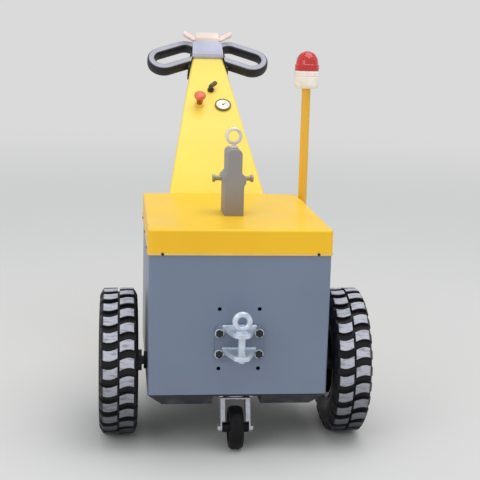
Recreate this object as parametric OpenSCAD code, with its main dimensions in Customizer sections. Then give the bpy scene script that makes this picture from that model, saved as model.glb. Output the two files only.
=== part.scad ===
// Pedestrian electric tow tug: a steel box body on two lugged drive wheels and two castors,
// with a pin hitch in front and a sloping control column with a looped handle behind.
// The tug stands on z = 0, with its hitch towards -Y and its handle towards +Y.

/* [Body] */
// Width of the body over its side panels
body_w = 490; // [440:1:540]
// Length of the body over its front and rear panels
body_l = 640; // [600:1:760]
// Height of the panels' bottom edge above the floor
skirt_z = 168; // [166:1:185]
// Height of the floor pan's underside above the floor
pan_z = 128; // [126:1:134]
// Thickness of the panels and of the floor pan
panel_t = 3; // [2:0.5:5]
// Outer radius of the body's upright corners
corner_r = 8; // [5:1:16]
// Length of the front and rear panels' returns round the corners
return_l = 30; // [20:1:50]

/* [Hood] */
// Height of the hood's top above the floor
hood_z = 625; // [600:1:700]
// Height of the hood's turned-down flange
hood_flange = 63; // [40:1:80]
// Thickness of the hood's sheet
hood_t = 2; // [1.5:0.5:4]
// Gap between the hood's flange and the body
hood_fit = 0.5; // [0.3:0.1:0.8]
// Radius of the hood's upper edges
hood_edge_r = 7; // [4:1:12]
// Height of the edge strip under the hood's flange
strip_h = 7; // [4:1:12]
// Thickness of the edge strip
strip_t = 4; // [3:0.5:6]

/* [Drive wheels] */
// Diameter of the tyre over its lugs
tyre_d = 415; // [395:1:440]
// Width of the tyre
tyre_w = 110; // [90:1:124]
// Distance between the two tyres' middle planes
track_w = 646; // [640:1:700]
// Distance from the front panel back to the axle
axle_in = 197; // [185:1:260]
// Number of lugs in each of a tyre's two rows
lug_count = 26; // [16:1:32]
// Height of the lugs above the casing
lug_h = 12; // [6:1:16]
// Share of the lug pitch that a lug fills
lug_share = 0.6; // [0.4:0.05:0.75]
// Distance that a lug bows along the tyre between its ends
lug_bow = 8; // [0:1:10]
// Width of the groove between the two rows of lugs
row_gap = 6; // [2:1:12]
// Diameter of the rim at the tyre's bead
rim_d = 203; // [190:1:220]
// Width of the rim between its flanges
rim_w = 84; // [70:1:90]
// Height of the rim's flanges above the bead
rim_flange = 11; // [6:1:16]
// Thickness of the rim's steel
rim_t = 3.5; // [2.5:0.5:6]
// Diameter of the wheel's turning shaft
shaft_d = 25; // [20:1:30]
// Diameter of the fixed axle tube
axle_tube_d = 50; // [40:1:60]
// Diameter of the hub's flange
hub_flange_d = 112; // [90:1:130]
// Diameter of the circle of wheel studs
stud_circle_d = 84; // [70:1:96]
// Number of wheel studs
stud_count = 4; // [3:1:6]

/* [Drive and battery] */
// Width of the drive unit's housing
drive_w = 150; // [120:1:200]
// Height of the drive unit's housing
drive_h = 170; // [150:1:220]
// Width of the battery pack
battery_w = 340; // [250:1:420]
// Gap that the drive unit and the battery pack keep to what stands beside them
bay_gap = 4; // [2:1:8]
// Height of the battery pack
battery_h = 225; // [150:1:300]

/* [Tow hitch] */
// Height of the pin's grip, half way between the jaws
hitch_z = 325; // [300:1:360]
// Gap between the jaws
jaw_gap = 50; // [35:1:60]
// Thickness of a jaw
jaw_t = 12; // [8:1:16]
// Distance from the front panel forward to the pin's axis
pin_out = 70; // [55:1:100]
// Diameter of the tow pin
pin_d = 20; // [14:1:24]
// Radius of a jaw's nose round the pin
nose_r = 25; // [22:1:30]
// Width of a jaw where it meets its base plate
jaw_root_w = 92; // [70:1:96]
// Width of the base plate
hitch_plate_w = 130; // [126:1:160]
// Height of the base plate
hitch_plate_h = 95; // [92:1:120]
// Thickness of the base plate
hitch_plate_t = 8; // [6:1:12]
// Outer diameter of the ring on the pin's head
pin_ring_d = 54; // [46:1:70]
// Thickness of the ring
pin_ring_wire = 15; // [10:1:17]

/* [Hole pattern in the front panel] */
// Distance between the two columns of holes
hole_dx = 108; // [100:1:114]
// Height of the lowest row of holes
hole_z = 242; // [235:1:250]
// Distance between the lowest and the highest row
hole_dz = 166; // [150:1:180]
// Height of the hitch's lower bolt row
bolt_z = 285; // [280:1:290]
// Distance between the hitch's two bolt rows
bolt_dz = 58; // [50:1:64]
// Diameter of all these holes
hole_d = 11; // [9:0.5:14]

/* [Castors] */
// Distance from the front or rear panel in to the swivel axis
castor_in = 78; // [72:1:100]
// Distance from the swivel axis to the wheel's axle
castor_trail = 40; // [30:1:46]
// Diameter of the castor wheel
castor_d = 120; // [100:1:120]
// Width of the castor wheel's tread
castor_w = 38; // [30:1:45]
// Width over the fork's legs
fork_w = 83; // [70:1:90]
// Thickness of the fork's sheet
fork_t = 4; // [3:0.5:6]
// Width of the flanges along the fork legs' edges
fork_lip = 13; // [8:1:16]
// Height of the mounting plate's upper face above the floor
castor_top_z = 160; // [158:1:164]
// Width of the mounting plate
castor_plate_w = 105; // [90:1:110]
// Length of the mounting plate
castor_plate_l = 100; // [80:1:104]
// Thickness of the mounting plate
castor_plate_t = 5; // [4:0.5:8]
// Width of the pocket in the floor pan
pocket_w = 134; // [126:1:160]
// Length of the pocket behind the swivel axis
pocket_l = 58; // [55:1:70]

/* [Column] */
// Angle of the column's face above the horizontal
column_slope = 40; // [30:1:50]
// Height at which the column's face meets the rear panel
column_z = 505; // [470:1:540]
// Length of the column's face
column_l = 822; // [700:1:900]
// Width of the column's face at the rear panel
column_foot_w = 368; // [300:1:400]
// Width of the column's face at its upper end
column_top_w = 116; // [100:1:140]
// Depth of the column
column_t = 85; // [70:1:95]
// Thickness of the column's sheet
column_sheet = 3; // [2:0.5:5]
// Radius of the column's long upper edges
column_r = 10; // [6:1:16]
// Thickness of the plate that holds the column to the body
foot_t = 5; // [4:0.5:8]
// Margin of that plate round the column
foot_rim = 16; // [10:1:24]
// Distance of the gussets under the column from its middle
gusset_x = 107; // [80:1:130]
// Length of the gussets
gusset_l = 60; // [40:1:80]
// Thickness of the gussets
gusset_t = 6; // [4:1:10]

/* [Controls] */
// Diameter of the stop button's head
stop_d = 42; // [36:1:50]
// Height of the stop button above the column's face
stop_h = 54; // [44:1:60]
// Diameter of the gauge's bezel
gauge_d = 58; // [44:1:60]
// Height of the gauge above the column's face
gauge_h = 9; // [6:1:14]
// Diameter of the key switch
key_d = 24; // [18:1:28]
// Distance of the stop button left of the middle
stop_x = 41; // [30:1:46]
// Distance of the stop button down the slope from the column's end
stop_down = 244; // [220:1:260]
// Distance of the key switch right of the middle
key_x = 3; // [0:1:20]
// Distance of the key switch down the slope from the column's end
key_down = 170; // [140:1:190]
// Length of the key's bow
key_bow_l = 38; // [30:1:42]
// Height of the key's bow
key_bow_h = 17; // [14:1:20]
// Turn of the key, clockwise
key_turn = 45; // [0:5:60]
// Distance of the gauge right of the middle
gauge_x = 43; // [38:1:50]
// Distance of the gauge down the slope from the column's end
gauge_down = 247; // [220:1:270]

/* [Handle] */
// Width of the handle's housing next to the column
head_w = 114; // [104:1:130]
// Width of the housing's far part, between the thumb paddles
head_far_w = 86; // [78:1:96]
// Length of that far part
head_far_l = 52; // [44:1:60]
// Length of the handle's housing along the slope
head_l = 125; // [115:1:150]
// Depth of the housing above the split between its shells
head_up = 20; // [18:1:28]
// Rise of the far part above the rest of the housing
head_rise = 8; // [4:1:12]
// Depth of the housing below the split
head_down = 45; // [36:1:60]
// Length of the lower shell's cheeks beside the column's end
cheek_l = 48; // [40:1:60]
// Depth of the cheeks
cheek_h = 62; // [50:1:75]
// Thickness of a cheek
cheek_t = 9; // [6:1:12]
// Width of the grips
grip_w = 30; // [26:1:34]
// Height of the grips above the split
grip_up = 12; // [10:1:15]
// Depth of the grips below the split
grip_down = 32; // [20:1:38]
// Radius of the grip loops' ends, to the tube's middle
grip_bend_r = 45; // [38:1:55]
// Length of the grip loops' straight stretches
grip_straight = 90; // [60:1:110]
// Distance from the middle to a grip loop's centre
grip_x = 122; // [112:1:130]
// Distance of a grip loop's centre up the slope from the column's end
grip_v = 8; // [4:1:14]
// Turn of each loop, outer end towards the body
grip_turn = 25; // [10:1:30]
// Length of a thumb paddle
paddle_l = 58; // [46:1:66]
// Width of a thumb paddle
paddle_w = 24; // [20:1:28]
// Thickness of a thumb paddle
paddle_t = 9; // [6:1:11]
// Angle at which a thumb paddle rises outwards
paddle_rise = 36; // [25:1:45]
// Distance of the paddles' shaft from the housing's far end
paddle_in = 38; // [34:1:40]
// Diameter of the paddles' shaft
paddle_shaft_d = 12; // [8:1:14]

/* [Beacon] */
// Diameter of the beacon's pole
pole_d = 28; // [22:1:34]
// Distance from the rear panel forward to the pole's axis
pole_in = 22; // [18:1:40]
// Height of the pole's lower end above the floor
pole_z0 = 465; // [450:1:480]
// Height of the pole's upper end above the floor
pole_z1 = 967; // [900:1:1050]
// Thickness of the bracket's plate between pole and body
pole_plate_t = 4; // [3:0.5:8]
// Diameter of the beacon's base
beacon_d = 78; // [70:1:90]
// Height of the beacon's base
beacon_base_h = 55; // [40:1:70]
// Height of the beacon's dome
dome_h = 61; // [50:1:75]

/* [Lifting post] */
// Distance from the front panel back to the post's middle
post_in = 265; // [240:1:320]
// Width of the post's lower part
post_w = 55; // [46:1:70]
// Length of the post's lower part
post_l = 110; // [80:1:120]
// Height of the post's lower part
post_low_h = 98; // [80:1:110]
// Height of the whole post above the hood
post_h = 188; // [170:1:210]
// Width of the post's upper part
post_top_w = 42; // [34:1:46]
// Diameter of the cross pin
cross_d = 14; // [10:1:18]
// Length of the cross pin
cross_l = 118; // [90:1:130]
// Outer diameter of the lifting eye
eye_d = 50; // [44:1:60]
// Diameter of the lifting eye's hole
eye_hole_d = 30; // [24:1:34]
// Thickness of the lifting eye
eye_t = 12; // [8:1:16]

/* [Hidden] */
$fn = 48;

// Clearances: radial at a turning shaft, between parts that pass, and a cutter's overshoot
run_gap = 0.05;
part_gap = 0.3;
cut = 1;

// Corner radius of the cut plates
plate_r = 8;

// Places along Y: the origin lies half way between the hitch's nose and the handle's far edge
reach_front = pin_out + nose_r;
reach_rear = body_l + (column_l + head_l) * cos(column_slope) + head_down * sin(column_slope);
front_y = (reach_front - reach_rear) / 2;
rear_y = front_y + body_l;
axle_y = front_y + axle_in;
axle_z = tyre_d / 2;
pin_y = front_y - pin_out;
post_y = front_y + post_in;
pole_y = rear_y - pole_in;
pole_x = body_w / 2 + pole_plate_t + pole_d / 2;
swivel_front_y = front_y + castor_in;
swivel_rear_y = rear_y - castor_in;

// The panels stand inside the hood, up to where its edges start to curve
hood_over = hood_fit + hood_t;
panel_top_z = hood_z - hood_edge_r - part_gap;
hood_low_z = hood_z - hood_flange;
pan_edge = skirt_z - pan_z;

module rounded_rect(w, l, r) {
    square([w - 2 * r, l], center = true);
    square([w, l - 2 * r], center = true);
    for (x = [-1, 1], y = [-1, 1])
        translate([x * (w / 2 - r), y * (l / 2 - r)]) circle(r);
}

// An outline from one half of it: the other half has the sign of one coordinate turned
function mirrored(half, axis) = concat(half, [for (i = [len(half) - 1 : -1 : 0])
    [half[i][0] * (axis == 0 ? -1 : 1), half[i][1] * (axis == 1 ? -1 : 1)]]);

// A flat bar with round ends, its length along X
module stadium(l, w) {
    square([l - w, w], center = true);
    for (x = [-1, 1]) translate([x * (l - w) / 2, 0]) circle(w / 2);
}

module body_centre(z) translate([0, (front_y + rear_y) / 2, z]) children();

module body_wall(z0, z1, out, t)
    body_centre(z0) linear_extrude(z1 - z0) difference() {
        rounded_rect(body_w + 2 * out, body_l + 2 * out, corner_r + out);
        rounded_rect(body_w + 2 * out - 2 * t, body_l + 2 * out - 2 * t, corner_r + out - t);
    }

// A tray with sides bevelled at 45 degrees, d mm inside the pan's outer faces
module pan_block(d) {
    low_z = pan_z + d;
    height = skirt_z + (d > 0 ? cut : 0) - low_z;
    function bevelled(w) =
        let (low = w / 2 - pan_edge - d * tan(22.5))
        mirrored([[low, 0], [low + height, height]], 0);
    body_centre(low_z) intersection() {
        rotate([90, 0, 0]) linear_extrude(body_l + 2 * cut, center = true)
            polygon(bevelled(body_w - 2 * d));
        rotate([90, 0, 90]) linear_extrude(body_w + 2 * cut, center = true)
            polygon(bevelled(body_l - 2 * d));
    }
}

// Space round a castor, d mm larger than the pocket, open towards the near panel
module pocket(swivel_y, side, d) {
    l = castor_in + pocket_l;
    y0 = swivel_y + side * (pocket_l - l / 2);
    translate([-pocket_w / 2 - d, y0 - l / 2 - d, pan_z - cut])
        cube([pocket_w + 2 * d, l + 2 * d, castor_top_z - pan_z + cut + d]);
}

module floor_pan() color("#4b4f57") {
    difference() {
        union() {
            difference() {
                pan_block(0);
                pan_block(panel_t);
            }
            intersection() {
                pan_block(0);
                union() {
                    pocket(swivel_front_y, 1, panel_t);
                    pocket(swivel_rear_y, -1, panel_t);
                }
            }
        }
        pocket(swivel_front_y, 1, 0);
        pocket(swivel_rear_y, -1, 0);
    }
}

module panel_holes(rows)
    for (x = [-1, 1] * hole_dx / 2, z = rows)
        translate([x, front_y, z]) rotate([90, 0, 0])
            cylinder(d = hole_d, h = 2 * pin_out, center = true);

module front_panel() color("#727f95") difference() {
    intersection() {
        body_wall(skirt_z, panel_top_z, 0, panel_t);
        translate([-body_w, front_y - cut, 0]) cube([2 * body_w, return_l + cut, hood_z]);
    }
    panel_holes([hole_z, hole_z + hole_dz, bolt_z, bolt_z + bolt_dz]);
}

module rear_panel() color("#727f95") intersection() {
    body_wall(skirt_z, panel_top_z, 0, panel_t);
    translate([-body_w, rear_y - return_l, 0]) cube([2 * body_w, return_l + cut, hood_z]);
}

module side_panel(side) color("#727f95") difference() {
    translate([side > 0 ? body_w / 2 - panel_t : -body_w / 2, front_y + return_l, skirt_z])
        cube([panel_t, body_l - 2 * return_l, panel_top_z - skirt_z]);
    translate([0, axle_y, axle_z]) rotate([0, 90, 0])
        cylinder(d = axle_tube_d + 2 * part_gap, h = 2 * body_w, center = true);
}
module side_panel_left() side_panel(-1);
module side_panel_right() side_panel(1);

module edge_strip() color("#d9d4c4")
    body_wall(hood_low_z - strip_h, hood_low_z, strip_t, strip_t);

// The hood's outer form, d mm inside its faces: flat top, rounded edges and corners
module hood_block(d) {
    w = body_w + 2 * hood_over - 2 * d;
    l = body_l + 2 * hood_over - 2 * d;
    h = hood_flange - d + (d > 0 ? cut : 0);
    r = hood_edge_r - d;
    module edge_profile(width) {
        translate([-width / 2, 0]) square([width, h - r]);
        translate([-width / 2 + r, 0]) square([width - 2 * r, h]);
        for (x = [-1, 1]) translate([x * (width / 2 - r), h - r]) circle(r);
    }
    body_centre(hood_z - d - h) intersection() {
        linear_extrude(h) rounded_rect(w, l, corner_r + hood_over - d);
        rotate([90, 0, 0]) linear_extrude(l + 2 * cut, center = true) edge_profile(w);
        rotate([90, 0, 90]) linear_extrude(w + 2 * cut, center = true) edge_profile(l);
    }
}

module hood() color("#fbc91e") difference() {
    hood_block(0);
    hood_block(hood_t);
}

// The drive unit and the battery pack fill the floor between the two castor pockets
pocket_in = castor_in + pocket_l + panel_t;
drive_l = 2 * (axle_in - pocket_in - bay_gap);
battery_y = axle_y + drive_l / 2 + bay_gap;

module battery_pack() color("#30343a")
    translate([-battery_w / 2, battery_y, pan_z + panel_t])
        cube([battery_w, rear_y - pocket_in - bay_gap - battery_y, battery_h]);

// Fixed axle tubes stand out of the housing through both side panels
module drive_unit() color("#3a3d42") difference() {
    union() {
        translate([-drive_w / 2, axle_y - drive_l / 2, pan_z + panel_t])
            cube([drive_w, drive_l, drive_h]);
        translate([0, axle_y, axle_z]) rotate([0, 90, 0])
            cylinder(d = axle_tube_d, h = body_w + 12, center = true);
    }
    translate([0, axle_y, axle_z]) rotate([0, 90, 0])
        for (a = [0, 180]) rotate([a, 0, 0]) translate([0, 0, drive_w / 2])
            cylinder(d = shaft_d + 2 * run_gap, h = body_w);
}

// A drive wheel's pieces are turned about +Z with the outer side up, then laid on their axle
module at_wheel(side)
    translate([side * track_w / 2, axle_y, axle_z]) rotate([0, side * 90, 0]) children();

casing_r = tyre_d / 2 - lug_h;
bead_hw = rim_w / 2;
crown_in = 9;
crown_hw = tyre_w / 2 - crown_in;
wall_bulge = 10;

// Solid section of the casing: beads between the rim's flanges, bulged walls and a flat crown
module tyre_casing() {
    wall_r = rim_d / 2 + rim_flange + part_gap;
    wall = concat([[rim_d / 2, bead_hw]], [for (t = [0, 0.45, 1])
        [wall_r + t * (casing_r - wall_r),
         bead_hw + t * (crown_hw - bead_hw) + wall_bulge * sin(180 * t)]]);
    rotate_extrude($fn = 32) polygon(mirrored(wall, 1));
}

lug_l = PI * tyre_d / lug_count * lug_share;

// A lug seen along the tyre's radius: its length along X, its width along Y, its long sides bowed
module lug_outline() {
    steps = [0, 0.3, 0.7, 1];
    function side(t, s) = [s * lug_l / 2 + lug_bow * (0.5 - sin(180 * t)),
                           row_gap / 2 + t * (tyre_w - row_gap) / 2];
    polygon(concat([for (t = steps) side(t, 1)], [for (t = steps) side(1 - t, -1)]));
}

// A lug on the X axis: a flat top whose corners lie on the tyre's circle, and a sloping shoulder
module lug() {
    shoulder_w = 14;
    shoulder_d = 10;
    root_d = 22;
    root_in = 4;
    root_r = casing_r - root_d;
    top_r = sqrt(pow(tyre_d / 2, 2) - pow((lug_l + lug_bow) / 2, 2));
    intersection() {
        translate([root_r - cut, 0, 0]) rotate([90, 0, 90])
            linear_extrude(top_r - root_r + 2 * cut) lug_outline();
        rotate([90, 0, 0]) linear_extrude(tyre_d, center = true) polygon([
            [root_r, 0], [top_r, 0], [top_r, tyre_w / 2 - shoulder_w],
            [casing_r - shoulder_d, tyre_w / 2], [root_r, tyre_w / 2 - root_in]]);
    }
}

module lug_row(turn)
    for (i = [0 : lug_count - 1]) rotate([0, 0, i * 360 / lug_count + turn]) lug();

// The inner row is the outer one turned half round, so its lugs bow the other way
module tyre() {
    tyre_casing();
    lug_row(0);
    rotate([180, 0, 0]) lug_row(180 / lug_count);
}
module tyre_left() color("#26262a") at_wheel(-1) tyre();
module tyre_right() color("#26262a") at_wheel(1) tyre();

disc_in = 6;
disc_out = 26;
pilot_r = 30;
stud_d = 12;
stud_out = 16;
nut_d = 21;
nut_h = 10;

// Pressed rim: a barrel with turned-up flanges and a dished disc inside it
module rim() difference() {
    rotate_extrude($fn = 96) {
        r = rim_d / 2;
        flange_r = r + rim_flange;
        lip = 2;
        bead_gap = 0.5;
        dish_r = r - 22;
        skew = 2;
        polygon(mirrored([
            [r - rim_t, bead_hw], [flange_r - lip, bead_hw + rim_t], [flange_r, bead_hw + rim_t],
            [flange_r, bead_hw + bead_gap], [r, bead_hw + bead_gap]], 1));
        polygon([
            [pilot_r, disc_in], [pilot_r, disc_in + rim_t], [hub_flange_d / 2, disc_in + rim_t],
            [dish_r, disc_out], [r - rim_t / 2, disc_out], [r - rim_t / 2, disc_out - rim_t],
            [dish_r + skew, disc_out - rim_t], [hub_flange_d / 2 + skew, disc_in]]);
    }
    for (i = [0 : stud_count - 1]) rotate([0, 0, i * 360 / stud_count])
        translate([stud_circle_d / 2, 0, 0]) cylinder(d = stud_d + 1, h = rim_w / 2);
}
module rim_left() color("#1e1f22") at_wheel(-1) rim();
module rim_right() color("#1e1f22") at_wheel(1) rim();

hub_in = track_w / 2 - body_w / 2 - 12;
shaft_in = track_w / 2 - drive_w / 2 - 20;

// Hub with its turning shaft, a flange behind the disc, studs with nuts and a domed cap
module hub() {
    flange_r = hub_flange_d / 2;
    flange_t = 10;
    bevel = 3;
    spigot_out = disc_in + rim_t + 5;
    cap_r = 20;
    cap_out = 35;
    rotate_extrude() polygon([
        [0, -shaft_in], [shaft_d / 2, -shaft_in], [shaft_d / 2, -hub_in], [pilot_r, -hub_in],
        [pilot_r, disc_in - flange_t], [flange_r - bevel, disc_in - flange_t],
        [flange_r, disc_in - flange_t + bevel], [flange_r, disc_in], [pilot_r - part_gap, disc_in],
        [pilot_r - part_gap, spigot_out], [cap_r, spigot_out + bevel],
        [cap_r, cap_out - 7], [cap_r - 3, cap_out - 2], [cap_r / 2, cap_out], [0, cap_out]]);
    for (i = [0 : stud_count - 1]) rotate([0, 0, i * 360 / stud_count])
        translate([stud_circle_d / 2, 0, disc_in]) {
            translate([0, 0, -cut]) cylinder(d = stud_d, h = rim_t + stud_out);
            translate([0, 0, rim_t]) cylinder(d = nut_d, h = nut_h, $fn = 6);
        }
}
module hub_left() color("#b9bcc0") at_wheel(-1) hub();
module hub_right() color("#b9bcc0") at_wheel(1) hub();

// Tangent from a jaw's root corner to the nose circle round the pin
function tangent_point(half_w, depth, r) =
    let (l = sqrt(half_w * half_w + depth * depth),
         a = atan2(-depth, -half_w) + asin(r / l),
         s = sqrt(l * l - r * r))
    [half_w + s * cos(a), s * sin(a)];

module jaw_outline() {
    root_depth = pin_out - hitch_plate_t;
    p = tangent_point(jaw_root_w / 2, root_depth, nose_r);
    polygon([[-jaw_root_w / 2, 0], [jaw_root_w / 2, 0], p, [0, -root_depth], [-p[0], p[1]]]);
    translate([0, -root_depth]) circle(nose_r);
}

module tow_bracket() color("#b8c3d6") difference() {
    top_z = hitch_z + jaw_gap / 2 + jaw_t;
    union() {
        translate([0, front_y, top_z - hitch_plate_h / 2]) rotate([90, 0, 0])
            linear_extrude(hitch_plate_t) rounded_rect(hitch_plate_w, hitch_plate_h, plate_r);
        for (z = [hitch_z + jaw_gap / 2, hitch_z - jaw_gap / 2 - jaw_t])
            translate([0, front_y - hitch_plate_t, z]) linear_extrude(jaw_t) jaw_outline();
    }
    translate([0, pin_y, 0]) cylinder(d = pin_d + 2 * run_gap, h = hood_z);
    panel_holes([bolt_z, bolt_z + bolt_dz]);
}

// The pin rests on the upper jaw by its collar, with an upright ring to lift it by
module tow_pin() color("#c6d0e0") {
    chamfer = 3;
    below = 10;
    collar_rim = 7;
    collar_h = 6;
    top_z = hitch_z + jaw_gap / 2 + jaw_t;
    low_z = hitch_z - jaw_gap / 2 - jaw_t - below;
    translate([0, pin_y, 0]) {
        translate([0, 0, low_z + chamfer]) cylinder(d = pin_d, h = top_z - low_z);
        translate([0, 0, low_z]) cylinder(d1 = pin_d - 2 * chamfer, d2 = pin_d, h = chamfer);
        translate([0, 0, top_z]) cylinder(d = pin_d + 2 * collar_rim, h = collar_h);
        translate([0, 0, top_z + collar_h / 2 + pin_ring_d / 2]) rotate([90, 0, 0]) rotate_extrude()
            translate([(pin_ring_d - pin_ring_wire) / 2, 0]) circle(d = pin_ring_wire, $fn = 24);
    }
}

race_h = 14;
race_r = 36;
swivel_gap = 1;
crown_z = castor_top_z - castor_plate_t - race_h - swivel_gap;
kingpin_d = 16;
kingpin_cover = 1;
kingpin_play = 2;
castor_axle_d = 12;
castor_r = castor_d / 2;
axle_nut_d = 21;
axle_nut_h = 7;
axle_out = 8;

// Mounting plate with the fixed race of the swivel bearing below it
module castor_plate(y) color("#b9bdc6") difference() {
    union() {
        translate([0, y, castor_top_z - castor_plate_t]) linear_extrude(castor_plate_t)
            rounded_rect(castor_plate_w, castor_plate_l, plate_r);
        translate([0, y, crown_z + swivel_gap]) rotate_extrude() polygon([
            [0, 0], [race_r - 6, 0], [race_r, 5], [race_r, race_h - 3], [race_r - 4, race_h],
            [0, race_h]]);
    }
    translate([0, y, 0]) cylinder(d = kingpin_d + 2 * run_gap, h = castor_top_z - kingpin_cover);
}

leg_h = crown_z - castor_r;
leg_top_hw = 26;
leg_eye_r = 14;
leg_front = [[-leg_top_hw, leg_h], [-leg_top_hw - 8, leg_h - 30], [-castor_trail - leg_eye_r, 0]];
leg_back = [[leg_top_hw, leg_h], [leg_top_hw - 2, leg_h - 14], [-castor_trail + leg_eye_r, 0]];
lip_share = 0.62;

// One fork leg seen from the side, from the crown down to the axle's eye
module leg_outline() difference() {
    union() {
        polygon(concat(leg_front, [for (i = [2 : -1 : 0]) leg_back[i]]));
        translate([-castor_trail, 0]) circle(leg_eye_r);
    }
    translate([-castor_trail, 0]) circle(castor_axle_d / 2 + run_gap);
}

// The strip along a leg's edge that is folded inwards, down to just above the axle's nut
module leg_lip(edge, side) {
    end = edge[1] + (edge[2] - edge[1]) * lip_share;
    line = [edge[0], edge[1], end];
    polygon(concat(line, [for (i = [2 : -1 : 0]) line[i] + [side * fork_t, 0]]));
}

// A leg lies with its outer face on x = 0 and its flanges towards +X
module fork_leg() rotate([90, 0, 90]) {
    linear_extrude(fork_t) leg_outline();
    linear_extrude(fork_lip) leg_lip(leg_front, 1);
    linear_extrude(fork_lip) leg_lip(leg_back, -1);
}

module castor_fork(y) color("#b9bdc6") translate([0, y, 0]) {
    translate([-fork_w / 2, 0, castor_r]) fork_leg();
    translate([fork_w / 2, 0, castor_r]) mirror([1, 0, 0]) fork_leg();
    translate([-fork_w / 2, -leg_top_hw, crown_z - fork_t]) cube([fork_w, 2 * leg_top_hw, fork_t]);
    translate([0, 0, crown_z - fork_t])
        cylinder(d = kingpin_d, h = castor_top_z - kingpin_cover - kingpin_play - crown_z + fork_t);
}

module castor_axle(y) color("#d0d4da") translate([0, y - castor_trail, castor_r]) rotate([0, 90, 0]) {
    cylinder(d = castor_axle_d, h = fork_w + 2 * axle_out, center = true);
    for (z = [fork_w / 2, -fork_w / 2 - axle_nut_h]) translate([0, 0, z])
        cylinder(d = axle_nut_d, h = axle_nut_h, $fn = 6);
}

module castor_wheel(y) color("#17181b") translate([0, y - castor_trail, castor_r]) rotate([0, 90, 0])
    difference() {
        rotate_extrude() {
            side_gap = 1;
            hub_r = 14;
            web_in = 4;
            hub_hw = fork_w / 2 - fork_t - side_gap;
            tread_hw = castor_w / 2;
            web_r = castor_r - 16;
            polygon(mirrored([
                [0, hub_hw], [hub_r, hub_hw], [hub_r + 1, tread_hw - web_in], [web_r, tread_hw - web_in],
                [web_r + 2, tread_hw], [castor_r - 5, tread_hw], [castor_r - 1, tread_hw - 6],
                [castor_r, tread_hw - 12]], 1));
        }
        cylinder(d = castor_axle_d + 2 * run_gap, h = fork_w, center = true);
    }

module castor_front_plate() castor_plate(swivel_front_y);
module castor_front_fork() castor_fork(swivel_front_y);
module castor_front_axle() castor_axle(swivel_front_y);
module castor_front_wheel() castor_wheel(swivel_front_y);
module castor_rear_plate() castor_plate(swivel_rear_y);
module castor_rear_fork() castor_fork(swivel_rear_y);
module castor_rear_axle() castor_axle(swivel_rear_y);
module castor_rear_wheel() castor_wheel(swivel_rear_y);

// The column's own frame: X across, Y up the slope from the rear panel, Z out of its face
module on_slope(v = 0) translate([0, rear_y, column_z]) rotate([column_slope, 0, 0])
    translate([0, v, 0]) children();

taper = (column_foot_w - column_top_w) / 2 / column_l;
taper_angle = atan(taper);
run_in = 10;
column_v0 = -column_t * tan(column_slope) - run_in;

// Trapezoid as wide as the column, d mm inside its slanting sides
module column_slab(d, v0, v1, w0, w1) {
    function half(v) = column_foot_w / 2 - taper * v - d / cos(taper_angle);
    translate([0, 0, w0]) linear_extrude(w1 - w0)
        polygon(mirrored([[half(v0), v0], [half(v1), v1]], 0));
}

// The column's form d mm inside its skin, with rounded long edges along its face
module column_block(d, v1, w0) {
    r = column_r - d;
    column_slab(d + r, column_v0, v1, w0, -d);
    column_slab(d, column_v0, v1, w0, -d - r);
    intersection() {
        for (s = [-1, 1]) translate([s * (column_foot_w / 2 - column_r / cos(taper_angle)), 0, -column_r])
            rotate([-90, 0, s * taper_angle]) translate([0, 0, -column_l])
                cylinder(r = r, h = 3 * column_l);
        column_slab(0, column_v0, v1, -column_t, 0);
    }
}

module behind_foot() difference() {
    children();
    translate([-body_w, rear_y + foot_t - 2 * column_l, 0]) cube([2 * body_w, 2 * column_l, 2 * hood_z]);
}

// Folded channel: face, two sides and an end cap
module column() color("#fbd640") behind_foot() on_slope() difference() {
    column_block(0, column_l, -column_t);
    column_block(column_sheet, column_l - column_sheet, -column_t - cut);
}

// Closing plate let in between the channel's sides
module column_back() color("#f3c326") behind_foot() on_slope()
    column_slab(column_sheet, column_v0, column_l - column_sheet, -column_t, -column_t + column_sheet);

// Welded flange on the rear panel with two gussets under the column
module column_foot() color("#fbc91e") {
    depth = column_t / cos(column_slope);
    w = column_foot_w + 2 * foot_rim;
    gusset_root = foot_rim - 2;
    gusset_tip = 8;
    gusset_toe = 10;
    translate([0, rear_y + foot_t, column_z - depth / 2]) rotate([90, 0, 0])
        linear_extrude(foot_t) rounded_rect(w, depth + 2 * foot_rim, 1.5 * plate_r);
    low = column_z + foot_t * tan(column_slope) - depth;
    gusset_h = gusset_l * tan(column_slope);
    for (x = [-1, 1] * gusset_x) translate([x - gusset_t / 2, rear_y + foot_t, low - part_gap])
        rotate([90, 0, 90]) linear_extrude(gusset_t) polygon([
            [0, 0], [gusset_l, gusset_h], [gusset_l, gusset_h - gusset_tip],
            [gusset_toe, -gusset_root], [0, -gusset_root]]);
}

module stop_button() color("#d9301f") on_slope(column_l - stop_down) translate([-stop_x, 0, 0])
    rotate_extrude() {
        r = stop_d / 2;
        neck_r = 11;
        collar_r = 17;
        collar_h = 7;
        polygon([
            [0, 0], [collar_r, 0], [collar_r, collar_h], [neck_r, collar_h + 2], [neck_r, stop_h - 20],
            [r - 2, stop_h - 15], [r, stop_h - 11], [r - 2, stop_h - 5], [r - 8, stop_h - 1],
            [8, stop_h], [0, stop_h]]);
    }

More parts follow.
